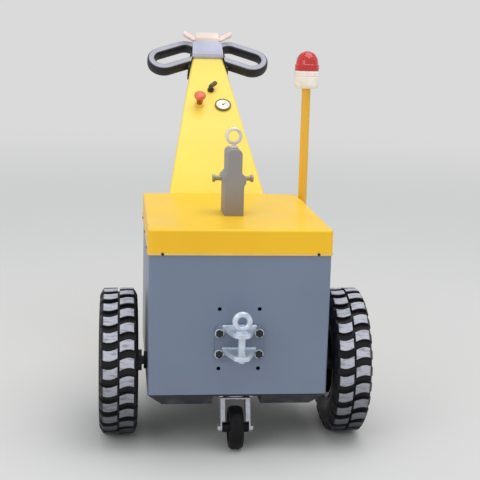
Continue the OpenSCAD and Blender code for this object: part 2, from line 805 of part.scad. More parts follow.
// Lock with its turned key: a short stem, and a flat bow with round ends that reaches to one side
module key_switch() color("#1b1a18") on_slope(column_l - key_down) translate([key_x, 0, 0]) {
    lock_h = 11;
    bevel = 3;
    stem = [4, 8, 4];
    bow_t = 7;
    bow_back = 9;
    rotate_extrude() polygon([[0, 0], [key_d / 2, 0], [key_d / 2, lock_h - 5],
                              [key_d / 2 - bevel, lock_h], [0, lock_h]]);
    rotate([0, 0, -key_turn]) {
        translate([-stem[0] / 2, -stem[1] / 2, lock_h - cut]) cube(stem);
        translate([0, key_bow_l / 2 - bow_back, lock_h + stem[2] - 2 * cut + key_bow_h / 2])
            rotate([90, 0, 90]) linear_extrude(bow_t, center = true) stadium(key_bow_l, key_bow_h);
    }
}

module gauge() color("#e8e2c8") on_slope(column_l - gauge_down) translate([gauge_x, 0, 0])
    rotate_extrude() {
        r = gauge_d / 2;
        glass_h = gauge_h - 2.5;
        polygon([[0, 0], [r, 0], [r, gauge_h - 4], [r - 2, gauge_h], [r - 5, gauge_h],
                 [r - 7, glass_h], [0, glass_h]]);
    }

head_near_l = head_l - head_far_l;
head_shoulder = 6;

// Plans of the handle's housing: the near part tapers to a shoulder, the far part is narrower
module head_near_plan() {
    mid_w = (head_w + head_far_w) / 2 + head_shoulder;
    polygon(mirrored([[head_w / 2, 0], [mid_w / 2, head_near_l - head_shoulder],
                      [head_far_w / 2, head_near_l]], 0));
}

module head_far_plan() {
    chamfer = 8;
    end_w = head_far_w / 2 - 2;
    polygon(mirrored([[head_far_w / 2, head_near_l - cut], [end_w, head_l - chamfer],
                      [end_w - chamfer, head_l]], 0));
}

module head_plan() {
    head_near_plan();
    head_far_plan();
}

// Side view of a part of the housing, as wide as the housing's plan there
module head_profile(points) intersection() {
    rotate([90, 0, 90]) linear_extrude(2 * head_w, center = true) polygon(points);
    translate([0, 0, -head_down - cut]) linear_extrude(head_down + head_up + head_rise + 2 * cut)
        children();
}

shaft_v = head_l - paddle_in;
shaft_w = head_up - paddle_shaft_d / 2 + 2;

module paddle_shaft(d, l)
    translate([0, shaft_v, shaft_w]) rotate([0, 90, 0]) cylinder(d = d, h = l, center = true);

// Upper shell, with a raised far part that carries the paddles' shaft
module head_cover() color("#b4b6c2") on_slope(column_l) difference() {
    top = head_up + head_rise;
    union() {
        head_profile([[0, 0], [0, head_up - 11], [7, head_up - 4], [20, head_up], [head_near_l, head_up],
                      [head_near_l, 0]]) head_near_plan();
        head_profile([[head_near_l - cut, 0], [head_near_l - cut, head_up], [head_near_l + 8, top],
                      [head_l - 16, top], [head_l - 5, top - 5], [head_l, top - 14], [head_l, 0]])
            head_far_plan();
    }
    paddle_shaft(paddle_shaft_d + 2 * run_gap, 2 * head_w);
}

// Lower shell: a tapered tub with a cheek on each side of the column's end
module head_shell() color("#2b2c31") {
    on_slope(column_l) head_profile([
        [0, 0], [head_l, 0], [head_l, -head_down], [head_l * 0.4, -head_down],
        [0, -head_down * 0.6]]) head_plan();
    on_slope() difference() {
        column_slab(-part_gap - cheek_t, column_l - cheek_l, column_l + head_near_l / 2, -cheek_h, 0);
        column_slab(-part_gap, column_l - cheek_l - cut, column_l, -cheek_h - cut, cut);
    }
}

// Section of the grips: a flat arch above the split and a deep rounded one below
module grip_section() {
    w = grip_w / 2;
    polygon(mirrored([
        [w - 11, -grip_down], [w - 7, -grip_down * 0.96], [w - 2.5, -grip_down * 0.8],
        [w, -grip_down * 0.55], [w, 0], [w - 1, grip_up * 0.45], [w - 4, grip_up * 0.8],
        [w - 9, grip_up]], 0));
}

// A closed loop of that section, turned so that its outer end droops towards the body
module grip_ring(side) translate([side * grip_x, grip_v, 0]) rotate([0, 0, -side * grip_turn]) {
    for (y = [-1, 1] * grip_bend_r) translate([0, y, 0]) rotate([90, 0, 90])
        linear_extrude(grip_straight, center = true) grip_section();
    for (a = [0, 180]) rotate([0, 0, a]) translate([grip_straight / 2, 0, 0])
        rotate([0, 0, -90]) rotate_extrude(angle = 180)
            translate([grip_bend_r, 0]) grip_section();
}

module half_space(up)
    translate([-body_w, -column_l, up ? 0 : -body_w]) cube([2 * body_w, 3 * column_l, body_w]);

// The loop where it stands clear of the housing, of the column's end and of the middle plane
module grip_loop(side, up) intersection() {
    difference() {
        on_slope(column_l) intersection() {
            grip_ring(side);
            half_space(up);
        }
        on_slope(column_l) translate([0, 0, -head_down - cut]) linear_extrude(2 * head_down) head_plan();
        on_slope() column_slab(-part_gap - (up ? 0 : cheek_t), column_l - 2 * grip_bend_r,
                               column_l + (up ? part_gap : head_near_l / 2), -cheek_h - cut, head_up);
    }
    translate([side > 0 ? 0 : -body_w, 0, 0]) cube([body_w, 2 * body_l, 2 * body_l]);
}

module grip(side) color("#1c1c20") grip_loop(side, false);
module grip_cover(side) color("#9b9ba6") grip_loop(side, true);
module grip_left() grip(-1);
module grip_right() grip(1);
module grip_cover_left() grip_cover(-1);
module grip_cover_right() grip_cover(1);

// Two paddles on a cross shaft through the housing's far part
module thumb_lever() color("#e9cfcb") on_slope(column_l) {
    root = 5;
    shaft_out = 4;
    paddle_shaft(paddle_shaft_d, head_far_w + 2 * shaft_out);
    for (side = [-1, 1]) translate([side * (head_far_w / 2 + root), shaft_v, shaft_w])
        rotate([0, -side * paddle_rise, 0]) translate([side * (paddle_l / 2 - root), 0, 0])
            linear_extrude(paddle_t, center = true) stadium(paddle_l, paddle_w);
}

// Plate on the side panel with two clamps round the pole
module beacon_bracket() color("#2a2b2e") difference() {
    clamp_w = pole_d + 6;
    clamp_h = 14;
    clamp_at = [10, 56];
    plate_h = 76;
    translate([0, pole_y, pole_z0 + 6]) {
        translate([body_w / 2, -clamp_w / 2, 0]) cube([pole_plate_t, clamp_w, plate_h]);
        for (z = clamp_at) translate([0, 0, z]) {
            translate([body_w / 2, -clamp_w / 2, 0]) cube([pole_x - body_w / 2, clamp_w, clamp_h]);
            translate([pole_x, 0, 0]) cylinder(d = clamp_w, h = clamp_h);
        }
    }
    translate([pole_x, pole_y, 0]) cylinder(d = pole_d, h = pole_z1);
}

// Tube with a closed upper end under the beacon
module beacon_pole() color("#eeb62c") translate([pole_x, pole_y, pole_z0]) difference() {
    wall = 2;
    end_t = 10;
    cylinder(d = pole_d, h = pole_z1 - pole_z0);
    translate([0, 0, -cut]) cylinder(d = pole_d - 2 * wall, h = pole_z1 - pole_z0 - end_t + cut);
}

beacon_r = beacon_d / 2;

module beacon_base() color("#ece7dd") translate([pole_x, pole_y, pole_z1]) rotate_extrude()
    polygon([[0, 0], [beacon_r - 6, 0], [beacon_r - 2, 4], [beacon_r, 10],
             [beacon_r, beacon_base_h - 4], [beacon_r - 2, beacon_base_h], [0, beacon_base_h]]);

// Moulded dome: a straight skirt, and an elliptical crown a little inside it
module beacon_dome() color("#d8222a") translate([pole_x, pole_y, pole_z1 + beacon_base_h]) rotate_extrude() {
    skirt_in = 1;
    crown_in = 4;
    skirt_share = 0.3;
    crown_share = 0.65;
    polygon(concat([[0, 0], [beacon_r - skirt_in, 0], [beacon_r - skirt_in, dome_h * skirt_share]],
        [for (a = [0 : 10 : 90])
            [(beacon_r - crown_in) * cos(a), dome_h * (1 - crown_share + crown_share * sin(a))]]));
}

cross_z = hood_z + post_low_h + 3;

module across_post() translate([0, post_y, cross_z]) rotate([0, 90, 0]) children();

// Upright block with a wider waist that carries the cross pin, and rounded shoulders
module lifting_post() color("#7c7c84") difference() {
    waist = post_w / 2 + 6;
    shoulder = 14;
    translate([0, post_y, hood_z]) rotate([90, 0, 0]) linear_extrude(post_l, center = true) {
        polygon(mirrored([
            [post_w / 2, 0], [post_w / 2, post_low_h - 14], [waist, post_low_h - 4],
            [waist, post_low_h + 10], [post_top_w / 2, post_low_h + 24],
            [post_top_w / 2, post_h - shoulder], [post_top_w / 2 - shoulder, post_h]], 0));
        for (x = [-1, 1]) translate([x * (post_top_w / 2 - shoulder), post_h - shoulder]) circle(shoulder);
    }
    across_post() cylinder(d = cross_d, h = cross_l, center = true);
}

module cross_pin() color("#d5d8dc") across_post() {
    head_h = 8;
    head_rim = 4;
    cylinder(d = cross_d, h = cross_l, center = true);
    for (z = [-1, 1] * (cross_l - head_h) / 2) translate([0, 0, z])
        cylinder(d = cross_d + 2 * head_rim, h = head_h, center = true);
}

// Flat eye across the tug, on a short stem with a collar
module lifting_eye() color("#e6e2d2") translate([0, post_y, hood_z + post_h]) difference() {
    stem_h = 9;
    collar_d = 26;
    collar_h = 5;
    bevel = 3;
    eye_z = stem_h + eye_d / 2;
    union() {
        translate([0, 0, eye_z]) rotate([90, 0, 0]) rotate_extrude() polygon(mirrored([
            [eye_d / 2, eye_t / 2 - bevel], [eye_d / 2 - bevel, eye_t / 2], [0, eye_t / 2]], 1));
        cylinder(d = eye_t, h = stem_h + 7);
        cylinder(d = collar_d, h = collar_h);
    }
    translate([0, 0, eye_z]) rotate([90, 0, 0]) cylinder(d = eye_hole_d, h = 2 * eye_t, center = true);
}

floor_pan();
front_panel();
side_panel_left();
side_panel_right();
rear_panel();
edge_strip();
hood();
battery_pack();
drive_unit();
tyre_left();
rim_left();
hub_left();
tyre_right();
rim_right();
hub_right();
tow_bracket();
tow_pin();
castor_front_plate();
castor_front_fork();
castor_front_axle();
castor_front_wheel();
castor_rear_plate();
castor_rear_fork();
castor_rear_axle();
castor_rear_wheel();
column_foot();
column();
column_back();
stop_button();
key_switch();
gauge();
head_cover();
head_shell();
grip_left();
grip_right();
grip_cover_left();
grip_cover_right();
thumb_lever();
beacon_bracket();
beacon_pole();
beacon_base();
beacon_dome();
lifting_post();
cross_pin();
lifting_eye();
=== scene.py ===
import math

import bpy
from mathutils import Matrix, Vector


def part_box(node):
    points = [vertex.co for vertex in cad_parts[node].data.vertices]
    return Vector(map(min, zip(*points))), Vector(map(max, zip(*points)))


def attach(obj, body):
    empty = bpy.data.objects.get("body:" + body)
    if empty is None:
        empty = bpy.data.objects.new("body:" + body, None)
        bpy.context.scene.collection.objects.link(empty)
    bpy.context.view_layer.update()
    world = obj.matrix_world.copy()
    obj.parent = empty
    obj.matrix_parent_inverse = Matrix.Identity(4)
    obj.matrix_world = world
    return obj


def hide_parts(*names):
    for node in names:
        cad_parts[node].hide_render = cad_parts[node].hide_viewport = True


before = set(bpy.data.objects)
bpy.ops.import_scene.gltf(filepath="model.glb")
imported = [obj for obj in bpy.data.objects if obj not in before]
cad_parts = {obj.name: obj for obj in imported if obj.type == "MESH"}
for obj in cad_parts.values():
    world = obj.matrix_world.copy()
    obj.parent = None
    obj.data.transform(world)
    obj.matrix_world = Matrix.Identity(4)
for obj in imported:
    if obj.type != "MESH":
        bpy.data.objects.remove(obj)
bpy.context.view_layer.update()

# Stage: a pale matt floor that fades into a pale surround, a wide soft box overhead and a weaker
# one in front on the left. The camera stands where the photograph was taken from, at head height.
camera_at = Vector((-0.326, -3.522, 1.153))
camera_turn = math.radians(6.39)
camera_down = math.radians(10.89)
camera_roll = math.radians(1.49)
camera_lens = 83.2
floor_radius = 60.0
fade_start, fade_end = 0.9, 9.0
floor_tone = (0.71, 0.705, 0.69, 1.0)
sky_tone = (0.95, 0.975, 1.0, 1.0)
white = (1.0, 1.0, 1.0, 1.0)
surround_light = 0.74
surround_seen = 0.70


def deselect():
    bpy.ops.object.select_all(action="DESELECT")


def named(name):
    """Names the piece that an operator has just added."""
    piece = bpy.context.active_object
    piece.name = piece.data.name = name
    return piece


def paint_tone(red, green, blue):
    """A colour read as 0 to 255 from a screen, as light."""
    return tuple(((c / 255 + 0.055) / 1.055) ** 2.4 if c > 10 else c / 255 / 12.92
                 for c in (red, green, blue)) + (1.0,)


def node_in(tree, kind, values=None, **settings):
    """Adds a node to a tree. A value that is a socket gets a link, any other one is set."""
    node = tree.nodes.new("ShaderNode" + kind)
    for key, setting in settings.items():
        setattr(node, key, setting)
    for key, value in (values or {}).items():
        if isinstance(value, bpy.types.NodeSocket):
            tree.links.new(value, node.inputs[key])
        else:
            node.inputs[key].default_value = value
    return node


deselect()
bpy.ops.mesh.primitive_circle_add(vertices=96, radius=floor_radius, fill_type="NGON")
floor = named("studio_floor")
floor_finish = bpy.data.materials.new("studio_floor")
floor_finish.use_nodes = True
tree = floor_finish.node_tree
tree.nodes.clear()
matt = node_in(tree, "BsdfDiffuse", {"Color": floor_tone})
glow = node_in(tree, "Emission", {"Color": white, "Strength": surround_seen})
clear = node_in(tree, "BsdfTransparent")
under = node_in(tree, "NewGeometry")
far = node_in(tree, "VectorMath", {0: node_in(tree, "TexCoord").outputs["Object"]}, operation="LENGTH")
fade = node_in(tree, "MapRange", {"Value": far.outputs["Value"], "From Min": fade_start,
                                  "From Max": fade_end}, interpolation_type="SMOOTHSTEP")
ground = node_in(tree, "MixShader", {0: fade.outputs[0], 1: matt.outputs[0], 2: glow.outputs[0]})
mixed = node_in(tree, "MixShader", {0: under.outputs["Backfacing"], 1: ground.outputs[0],
                                    2: clear.outputs[0]})
node_in(tree, "OutputMaterial", {"Surface": mixed.outputs[0]})
floor.data.materials.append(floor_finish)

surround = bpy.data.worlds.new("surround")
surround.use_nodes = True
tree = surround.node_tree
tree.nodes.clear()
path = node_in(tree, "LightPath")
mirrored = node_in(tree, "Math", {0: path.outputs["Is Glossy Ray"],
                                  1: path.outputs["Is Transmission Ray"]}, operation="MAXIMUM")
seen_by = node_in(tree, "Math", {0: path.outputs["Is Camera Ray"], 1: mirrored.outputs[0]},
                  operation="MAXIMUM")
lit = node_in(tree, "Background", {"Color": sky_tone, "Strength": surround_light})
seen = node_in(tree, "Background", {"Color": white, "Strength": surround_seen})
mixed = node_in(tree, "MixShader", {0: seen_by.outputs[0], 1: lit.outputs[0], 2: seen.outputs[0]})
node_in(tree, "OutputWorld", {"Surface": mixed.outputs[0]})
bpy.context.scene.world = surround


def soft_box(name, spot, aim, size, power):
    """A square lamp at a spot, turned to what it lights."""
    lamp = bpy.data.lights.new(name, "AREA")
    lamp.shape = "SQUARE"
    lamp.size = size
    lamp.energy = power
    holder = bpy.data.objects.new(name, lamp)
    holder.location = spot
    holder.rotation_euler = (Vector(aim) - Vector(spot)).to_track_quat("-Z", "Y").to_euler()
    bpy.context.scene.collection.objects.link(holder)


soft_box("overhead_box", spot=(0.8, -0.6, 4.6), aim=(0.0, 0.0, 0.4), size=3.6, power=78.0)
soft_box("front_box", spot=(-3.2, -3.6, 2.6), aim=(0.0, 0.0, 0.5), size=2.4, power=34.0)

camera = bpy.data.objects.new("camera", bpy.data.cameras.new("camera"))
camera.data.lens = camera_lens
camera.matrix_world = (Matrix.Translation(camera_at) @ Matrix.Rotation(-camera_turn, 4, "Z")
                       @ Matrix.Rotation(math.pi / 2 - camera_down, 4, "X")
                       @ Matrix.Rotation(camera_roll, 4, "Z"))
bpy.context.scene.collection.objects.link(camera)
bpy.context.scene.camera = camera
bpy.context.scene.view_settings.view_transform = "Standard"

# Body: folded sheet-steel panels over a bevelled floor tray, all powder coated. The panels are satin
# blue-grey with a faint orange peel; the tray is dark grey, darkened further as painted shade, with road
# dust.
panel_edge = 0.0008
tray_edge = 0.0015
weld_reach = 0.00002


def new_finish(name):
    """An empty material, with the piece's own coordinates to draw its pattern on."""
    finish = bpy.data.materials.new(name)
    finish.use_nodes = True
    finish.node_tree.nodes.clear()
    return finish, finish.node_tree, node_in(finish.node_tree, "TexCoord").outputs["Object"]


def noise(tree, place, scale, detail=2.0):
    return node_in(tree, "TexNoise", {"Vector": place, "Scale": scale, "Detail": detail}).outputs[0]


def stretched(tree, place, x, y, z):
    """The same coordinates, drawn out along an axis whose factor is below the others."""
    return node_in(tree, "Mapping", {"Vector": place, "Scale": (x, y, z)}).outputs[0]


def ramped(tree, value, low, high, out_low=0.0, out_high=1.0):
    return node_in(tree, "MapRange", {"Value": value, "From Min": low, "From Max": high,
                                      "To Min": out_low, "To Max": out_high}).outputs[0]


def blended(tree, share, first, second):
    return node_in(tree, "Mix", {0: share, 6: first, 7: second}, data_type="RGBA").outputs[2]


def combined(tree, operation, first, second):
    return node_in(tree, "Math", {0: first, 1: second}, operation=operation).outputs[0]


def axis_value(tree, place, axis):
    return node_in(tree, "SeparateXYZ", {0: place}).outputs[axis]


def bumps(tree, height, strength, distance):
    return node_in(tree, "Bump", {"Height": height, "Strength": strength,
                                  "Distance": distance}).outputs[0]


def edge_share(tree, radius):
    """1 along a piece's edges and 0 on its faces."""
    soft = node_in(tree, "Bevel", {"Radius": radius}, samples=4).outputs[0]
    flat = node_in(tree, "NewGeometry").outputs["Normal"]
    match = node_in(tree, "VectorMath", {0: soft, 1: flat}, operation="DOT_PRODUCT").outputs["Value"]
    return ramped(tree, match, 0.985, 0.80)


def surface(finish, colour, roughness, **fixed):
    """The shader at the end of a material. Names of sockets are written with _ for a space."""
    values = {"Base Color": colour, "Roughness": roughness}
    values.update({key.replace("_", " "): value for key, value in fixed.items()})
    shader = node_in(finish.node_tree, "BsdfPrincipled", values)
    node_in(finish.node_tree, "OutputMaterial", {"Surface": shader.outputs[0]})
    return finish


def lighter(colour, factor):
    return tuple(min(c * factor, 1.0) for c in colour[:3]) + (1.0,)


def clouded(tree, pattern, colour, dark, pale, low=0.3, high=0.7):
    """A colour that drifts with a pattern between a darker and a paler tone of itself."""
    return blended(tree, ramped(tree, pattern, low, high), lighter(colour, dark), lighter(colour, pale))


def enamel(name, colour, roughness, coat, dust=0.0, dust_top=0.30, lower=None, painted_edge_highlight=None):
    """Sprayed enamel: slight drift of tone, orange peel, rubbed edges, and dust low down.

    lower is a second colour, the height below which it is full and the one above which it ends.
    painted_edge_highlight is the colour of a painted highlight along the edges and the width over
    which it fades into the faces.
    """
    finish, tree, place = new_finish(name)
    drift = noise(tree, place, 3.5, 3.0)
    height = axis_value(tree, place, 2)
    tone = clouded(tree, drift, colour, 0.94, 1.05)
    if lower:
        second, full, end = lower
        deep = clouded(tree, drift, second, 0.94, 1.05)
        tone = blended(tree, ramped(tree, height, end, full), tone, deep)
    # A painted highlight along the edges, in a paler colour.
    if painted_edge_highlight:
        tone = blended(tree, edge_share(tree, painted_edge_highlight[1]), tone, painted_edge_highlight[0])
    worn = combined(tree, "MULTIPLY", edge_share(tree, 0.002), noise(tree, place, 60.0))
    tone = blended(tree, combined(tree, "MULTIPLY", worn, 0.7), tone, lighter(colour, 1.45))
    low = ramped(tree, height, dust_top, 0.10)
    spots = ramped(tree, noise(tree, place, 38.0, 6.0), 0.42, 0.66)
    share = combined(tree, "MULTIPLY", combined(tree, "MULTIPLY", low, spots), dust)
    tone = blended(tree, share, tone, paint_tone(168, 160, 146))
    haze = ramped(tree, noise(tree, place, 9.0, 4.0), 0.3, 0.7, roughness * 0.85, roughness * 1.2)
    haze = combined(tree, "ADD", haze, combined(tree, "MULTIPLY", share, 0.5))
    peel = bumps(tree, noise(tree, place, 420.0, 1.0), 0.05, 0.0006)
    return surface(finish, tone, haze, Normal=peel, Coat_Weight=coat, Coat_Roughness=0.10)


def coat(finish, *names):
    """Puts a finish on pieces of the frame that keep their own shape."""
    for name in names:
        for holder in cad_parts[name].material_slots:
            holder.material = finish


def fit(piece, finish, body, slot, *stands_for):
    """Finishes a piece, hangs it on its body, and hides the plain pieces that it stands for."""
    piece.data.materials.clear()
    piece.data.materials.append(finish)
    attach(piece, body)
    if stands_for:
        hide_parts(*stands_for)
    return piece


def take(piece):
    """Makes a piece the only one selected."""
    deselect()
    piece.select_set(True)
    bpy.context.view_layer.objects.active = piece
    return piece


def applied(piece, kind, **settings):
    """Adds a modifier to a piece and applies it."""
    modifier = take(piece).modifiers.new("step", kind)
    for key, setting in settings.items():
        setattr(modifier, key, setting)
    bpy.ops.object.modifier_apply(modifier="step")
    return piece


def ease_edges(piece, radius, steps=2, angle=32.0, holes=()):
    """Rounds the edges that are sharper than an angle, and keeps the flat faces flat.

    Each hole is a point on its axis, the axis and a reach, within which the edges stay sharp.
    """
    take(piece)
    bpy.ops.object.mode_set(mode="EDIT")
    bpy.ops.mesh.select_mode(type="EDGE")
    bpy.ops.mesh.select_all(action="DESELECT")
    bpy.ops.mesh.edges_select_sharp(sharpness=math.radians(angle))
    bpy.ops.object.mode_set(mode="OBJECT")
    for edge in piece.data.edges:
        ends = [piece.data.vertices[i].co for i in edge.vertices]
        edge.select &= not any(all((end - point).cross(axis).length < reach for end in ends)
                               for point, axis, reach in holes)
    bpy.ops.object.mode_set(mode="EDIT")
    bpy.ops.mesh.bevel(offset=radius, segments=steps, affect="EDGES", clamp_overlap=False)
    bpy.ops.mesh.select_mode(type="VERT")
    bpy.ops.object.mode_set(mode="OBJECT")
    bpy.ops.object.shade_smooth_by_angle(angle=math.radians(angle))
    return applied(piece, "WEIGHTED_NORMAL", keep_sharp=True, weight=100)


def eased(name, radius, steps=2, angle=32.0, holes=()):
    """A welded copy of a piece of the frame, with its sharp edges rounded save those of its holes."""
    piece = bpy.data.objects.new("dressed_" + name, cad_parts[name].data.copy())
    bpy.context.scene.collection.objects.link(piece)
    take(piece)
    bpy.ops.object.mode_set(mode="EDIT")
    bpy.ops.mesh.select_all(action="SELECT")
    bpy.ops.mesh.remove_doubles(threshold=weld_reach)
    bpy.ops.mesh.dissolve_degenerate(threshold=weld_reach)
    bpy.ops.mesh.dissolve_limited(angle_limit=math.radians(0.5))
    bpy.ops.object.mode_set(mode="OBJECT")
    return ease_edges(piece, radius, steps, angle, holes)


panel_grey = enamel("panel_grey", paint_tone(117, 129, 151), 0.42, 0.10, dust=0.10, dust_top=0.24)
# The tray's dark grey is partly its paint and partly painted shade under the body.
tray_grey_and_shade = enamel("tray_grey_and_shade", paint_tone(40, 43, 54), 0.52, 0.0, dust=0.30, dust_top=0.17)
# The hitch's four bolt holes and the four spare ones above and below them
bolt_rows, spare_rows = (0.285, 0.343), (0.242, 0.408)
bolt_column = 0.054
hole_reach = 0.007
panel_holes = [(Vector((side * bolt_column, 0, z)), Vector((0, 1, 0)), hole_reach)
               for side in (-1, 1) for z in bolt_rows + spare_rows]
for name in ("front_panel", "side_panel_left", "side_panel_right", "rear_panel"):
    fit(eased(name, panel_edge, holes=panel_holes), panel_grey, "chassis", "body_paint", name)
fit(eased("floor_pan", tray_edge), tray_grey_and_shade, "chassis", "pan_paint", "floor_pan")

# Hood: one sheet of steel folded down on four sides, welded at its corners and sprayed a glossy
# yellow. It stands on the panels and is held by small pan-head screws through its edge strip.
hood_edge = 0.0006
strip_edge = 0.0012
screw_head_r = 0.0042
screw_spread = 0.209
screw_inset = 0.09
hood_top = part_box("hood")[1].z
# Below its top the hood is painted a deeper yellow, as painted shade on the folded sides.
hood_yellow = enamel("hood_yellow", paint_tone(255, 204, 24), 0.44, 0.12,
                     lower=(paint_tone(255, 196, 10), hood_top - 0.009, hood_top - 0.003))
fit(eased("hood", hood_edge, 2, 24.0), hood_yellow, "chassis", "hood_paint", "hood")


def satin_strip(name, colour):
    """Satin paint on rolled steel, with a fine grain."""
    finish, tree, place = new_finish(name)
    tone = blended(tree, noise(tree, place, 24.0, 4.0), lighter(colour, 0.86), lighter(colour, 1.08))
    grain = bumps(tree, noise(tree, place, 600.0), 0.15, 0.0004)
    return surface(finish, tone, 0.48, Normal=grain)


strip_gold = satin_strip("strip_gold", paint_tone(242, 200, 96))
fit(eased("edge_strip", strip_edge), strip_gold, "chassis", "strip", "edge_strip")


def repeated(piece, places):
    """One mesh made of copies of a piece, a copy at each place."""
    name = piece.name
    deselect()
    for place in places:
        twin = piece.copy()
        twin.data = piece.data.copy()
        twin.data.transform(place)
        bpy.context.scene.collection.objects.link(twin)
        twin.select_set(True)
    bpy.context.view_layer.objects.active = twin
    bpy.ops.object.join()
    bpy.data.objects.remove(piece)
    return named(name)


def softened(outline, radius, steps=3):
    """An outline with each inner corner taken off by a curve."""
    result = [outline[0]]
    for before, corner, after in zip(outline, outline[1:], outline[2:]):
        p, a, b = Vector(corner), Vector(before), Vector(after)
        start = p + (a - p).normalized() * min(radius, (a - p).length * 0.45)
        end = p + (b - p).normalized() * min(radius, (b - p).length * 0.45)
        for i in range(steps + 1):
            t = i / steps
            result.append(tuple(start.lerp(p, t).lerp(p.lerp(end, t), t)))
    return result + [outline[-1]]


def turned(name, outline, steps=48, place=None, smooth=35.0):
    """A piece turned about +Z from its outline, a list of (radius, height) from top to bottom."""
    deselect()
    bpy.ops.mesh.primitive_plane_add(size=0.001, location=(outline[0][0], 0.0, outline[0][1]))
    piece = named(name)
    bpy.ops.object.transform_apply(location=True)
    bpy.ops.object.mode_set(mode="EDIT")
    bpy.ops.mesh.select_all(action="SELECT")
    bpy.ops.mesh.merge(type="CENTER")
    for here, there in zip(outline, outline[1:]):
        step = (there[0] - here[0], 0.0, there[1] - here[1])
        bpy.ops.mesh.extrude_vertices_move(TRANSFORM_OT_translate={"value": step})
    bpy.ops.mesh.select_all(action="SELECT")
    bpy.ops.mesh.spin(steps=steps, angle=2 * math.pi, center=(0, 0, 0), axis=(0, 0, 1))
    bpy.ops.mesh.select_all(action="SELECT")
    bpy.ops.mesh.remove_doubles(threshold=0.000002)
    bpy.ops.mesh.normals_make_consistent(inside=False)
    bpy.ops.object.mode_set(mode="OBJECT")
    bpy.ops.object.shade_smooth_by_angle(angle=math.radians(smooth))
    if place is not None:
        piece.data.transform(place)
    return piece


def moved(x, y, z):
    return Matrix.Translation((x, y, z))


facing = {"-Y": Matrix.Rotation(math.pi / 2, 4, "X"), "+Y": Matrix.Rotation(-math.pi / 2, 4, "X"),
          "-X": Matrix.Rotation(-math.pi / 2, 4, "Y"), "+X": Matrix.Rotation(math.pi / 2, 4, "Y"),
          "-Z": Matrix.Rotation(math.pi, 4, "X")}

strip_low, strip_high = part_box("edge_strip")
strip_z = (strip_low.z + strip_high.z) / 2
screw = turned("strip_screws", softened([(0.0, 0.0022), (0.0030, 0.0018), (screw_head_r, 0.0004),
                                         (screw_head_r, -0.0006), (0.0, -0.0006)], 0.0006), 20)
places = [moved(side * screw_spread, strip_low.y, strip_z) @ facing["-Y"] for side in (-1, 1)]
places += [moved(side * screw_spread, strip_high.y, strip_z) @ facing["+Y"] for side in (-1, 1)]
for y in (strip_low.y + screw_inset, (strip_low.y + strip_high.y) / 2, strip_high.y - screw_inset):
    places += [moved(strip_low.x, y, strip_z) @ facing["-X"],
               moved(strip_high.x, y, strip_z) @ facing["+X"]]


def plated(name, colour, rough_low, rough_high, spangle=55.0, metal=0.85):
    """Zinc-plated steel: a cloudy bright skin with fine rolling marks and a little tarnish."""
    finish, tree, place = new_finish(name)
    cloud = noise(tree, place, spangle, 5.0)
    tone = clouded(tree, cloud, colour, 0.78, 1.10, 0.32, 0.68)
    marks = noise(tree, stretched(tree, place, 60.0, 900.0, 900.0), 1.0)
    rough = ramped(tree, cloud, 0.3, 0.7, rough_low, rough_high)
    skin = bumps(tree, combined(tree, "ADD", marks, noise(tree, place, 300.0)), 0.12, 0.0003)
    return surface(finish, tone, rough, Metallic=metal, Normal=skin)


black_steel = plated("black_steel", (0.016, 0.018, 0.024, 1.0), 0.34, 0.50, 80.0, 0.3)
fit(repeated(screw, places), black_steel, "chassis", "hub_steel")

# Battery pack and drive unit: what weighs inside the closed body. The pack is a black plastic
# case, the unit a cast housing whose axle tubes come out through the side panels.
def pebbled(name, colour, rough, grain, depth=0.0004, gloss=0.5):
    """Moulded plastic with a fine pebbled skin, paler and duller where hands rub it."""
    finish, tree, place = new_finish(name)
    cells = noise(tree, place, grain, 2.0)
    patches = noise(tree, place, 14.0, 3.0)
    tone = clouded(tree, patches, colour, 0.90, 1.10)
    tone = blended(tree, combined(tree, "MULTIPLY", edge_share(tree, 0.0015), 0.35), tone,
                   lighter(colour, 1.6))
    haze = ramped(tree, patches, 0.25, 0.75, rough * 0.85, rough * 1.15)
    return surface(finish, tone, haze, Normal=bumps(tree, cells, 0.30, depth), Specular_IOR_Level=gloss)


battery_black = pebbled("battery_black", paint_tone(40, 42, 46), 0.55, 500.0)
cast_grey = pebbled("cast_grey", paint_tone(62, 64, 68), 0.60, 260.0, 0.0008)
coat(battery_black, "battery_pack")
coat(cast_grey, "drive_unit")

# Drive tyres: black rubber of the usual lugged size, two rows of bowed blocks set half a pitch
# apart. The treads are pale grey, partly dust and partly a painted sheen of sky reflection, painted
# darker near the ground as painted shade; the sidewalls are black with moulded rings.
tyre_low, tyre_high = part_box("tyre_right")
tyre_r = (tyre_high.z - tyre_low.z) / 2
tyre_half = (tyre_high.x - tyre_low.x) / 2
axle_y, axle_z = (tyre_low.y + tyre_high.y) / 2, (tyre_low.z + tyre_high.z) / 2
wheel_x = (tyre_low.x + tyre_high.x) / 2
lug_count = 26
lug_height = 0.012
lug_length = 0.027
lug_bow = 0.008
lug_flare = 0.0022
lug_edge = 0.0011
casing_r = tyre_r - lug_height
bead_r, bead_half, bead_bore = 0.1128, 0.042, 0.1015
crown_half = tyre_half - 0.009
wall_bulge = 0.010
wall_steps = 44
ring_width = 0.016
# Moulded rings on a sidewall: share of its height, and how far they stand out
wall_rings = ((0.07, 0.0018), (0.16, 0.0008), (0.34, 0.0007), (0.42, 0.0007), (0.80, 0.0012))


def wall_point(share):
    """A point of the sidewall's section, from the rim at 0 to the shoulder at 1."""
    out = bead_half + share * (crown_half - bead_half) + wall_bulge * math.sin(math.pi * share)
    for at, height in wall_rings:
        out += height * math.exp(-((share - at) / ring_width) ** 2)
    return bead_r + share * (casing_r - bead_r), out


wall = [wall_point(i / wall_steps) for i in range(wall_steps + 1)]
section = [(bead_bore, bead_half)] + wall + [(casing_r + 0.001, 0.0)]
section += [(r, -w) for r, w in reversed(wall)] + [(bead_bore, -bead_half)]

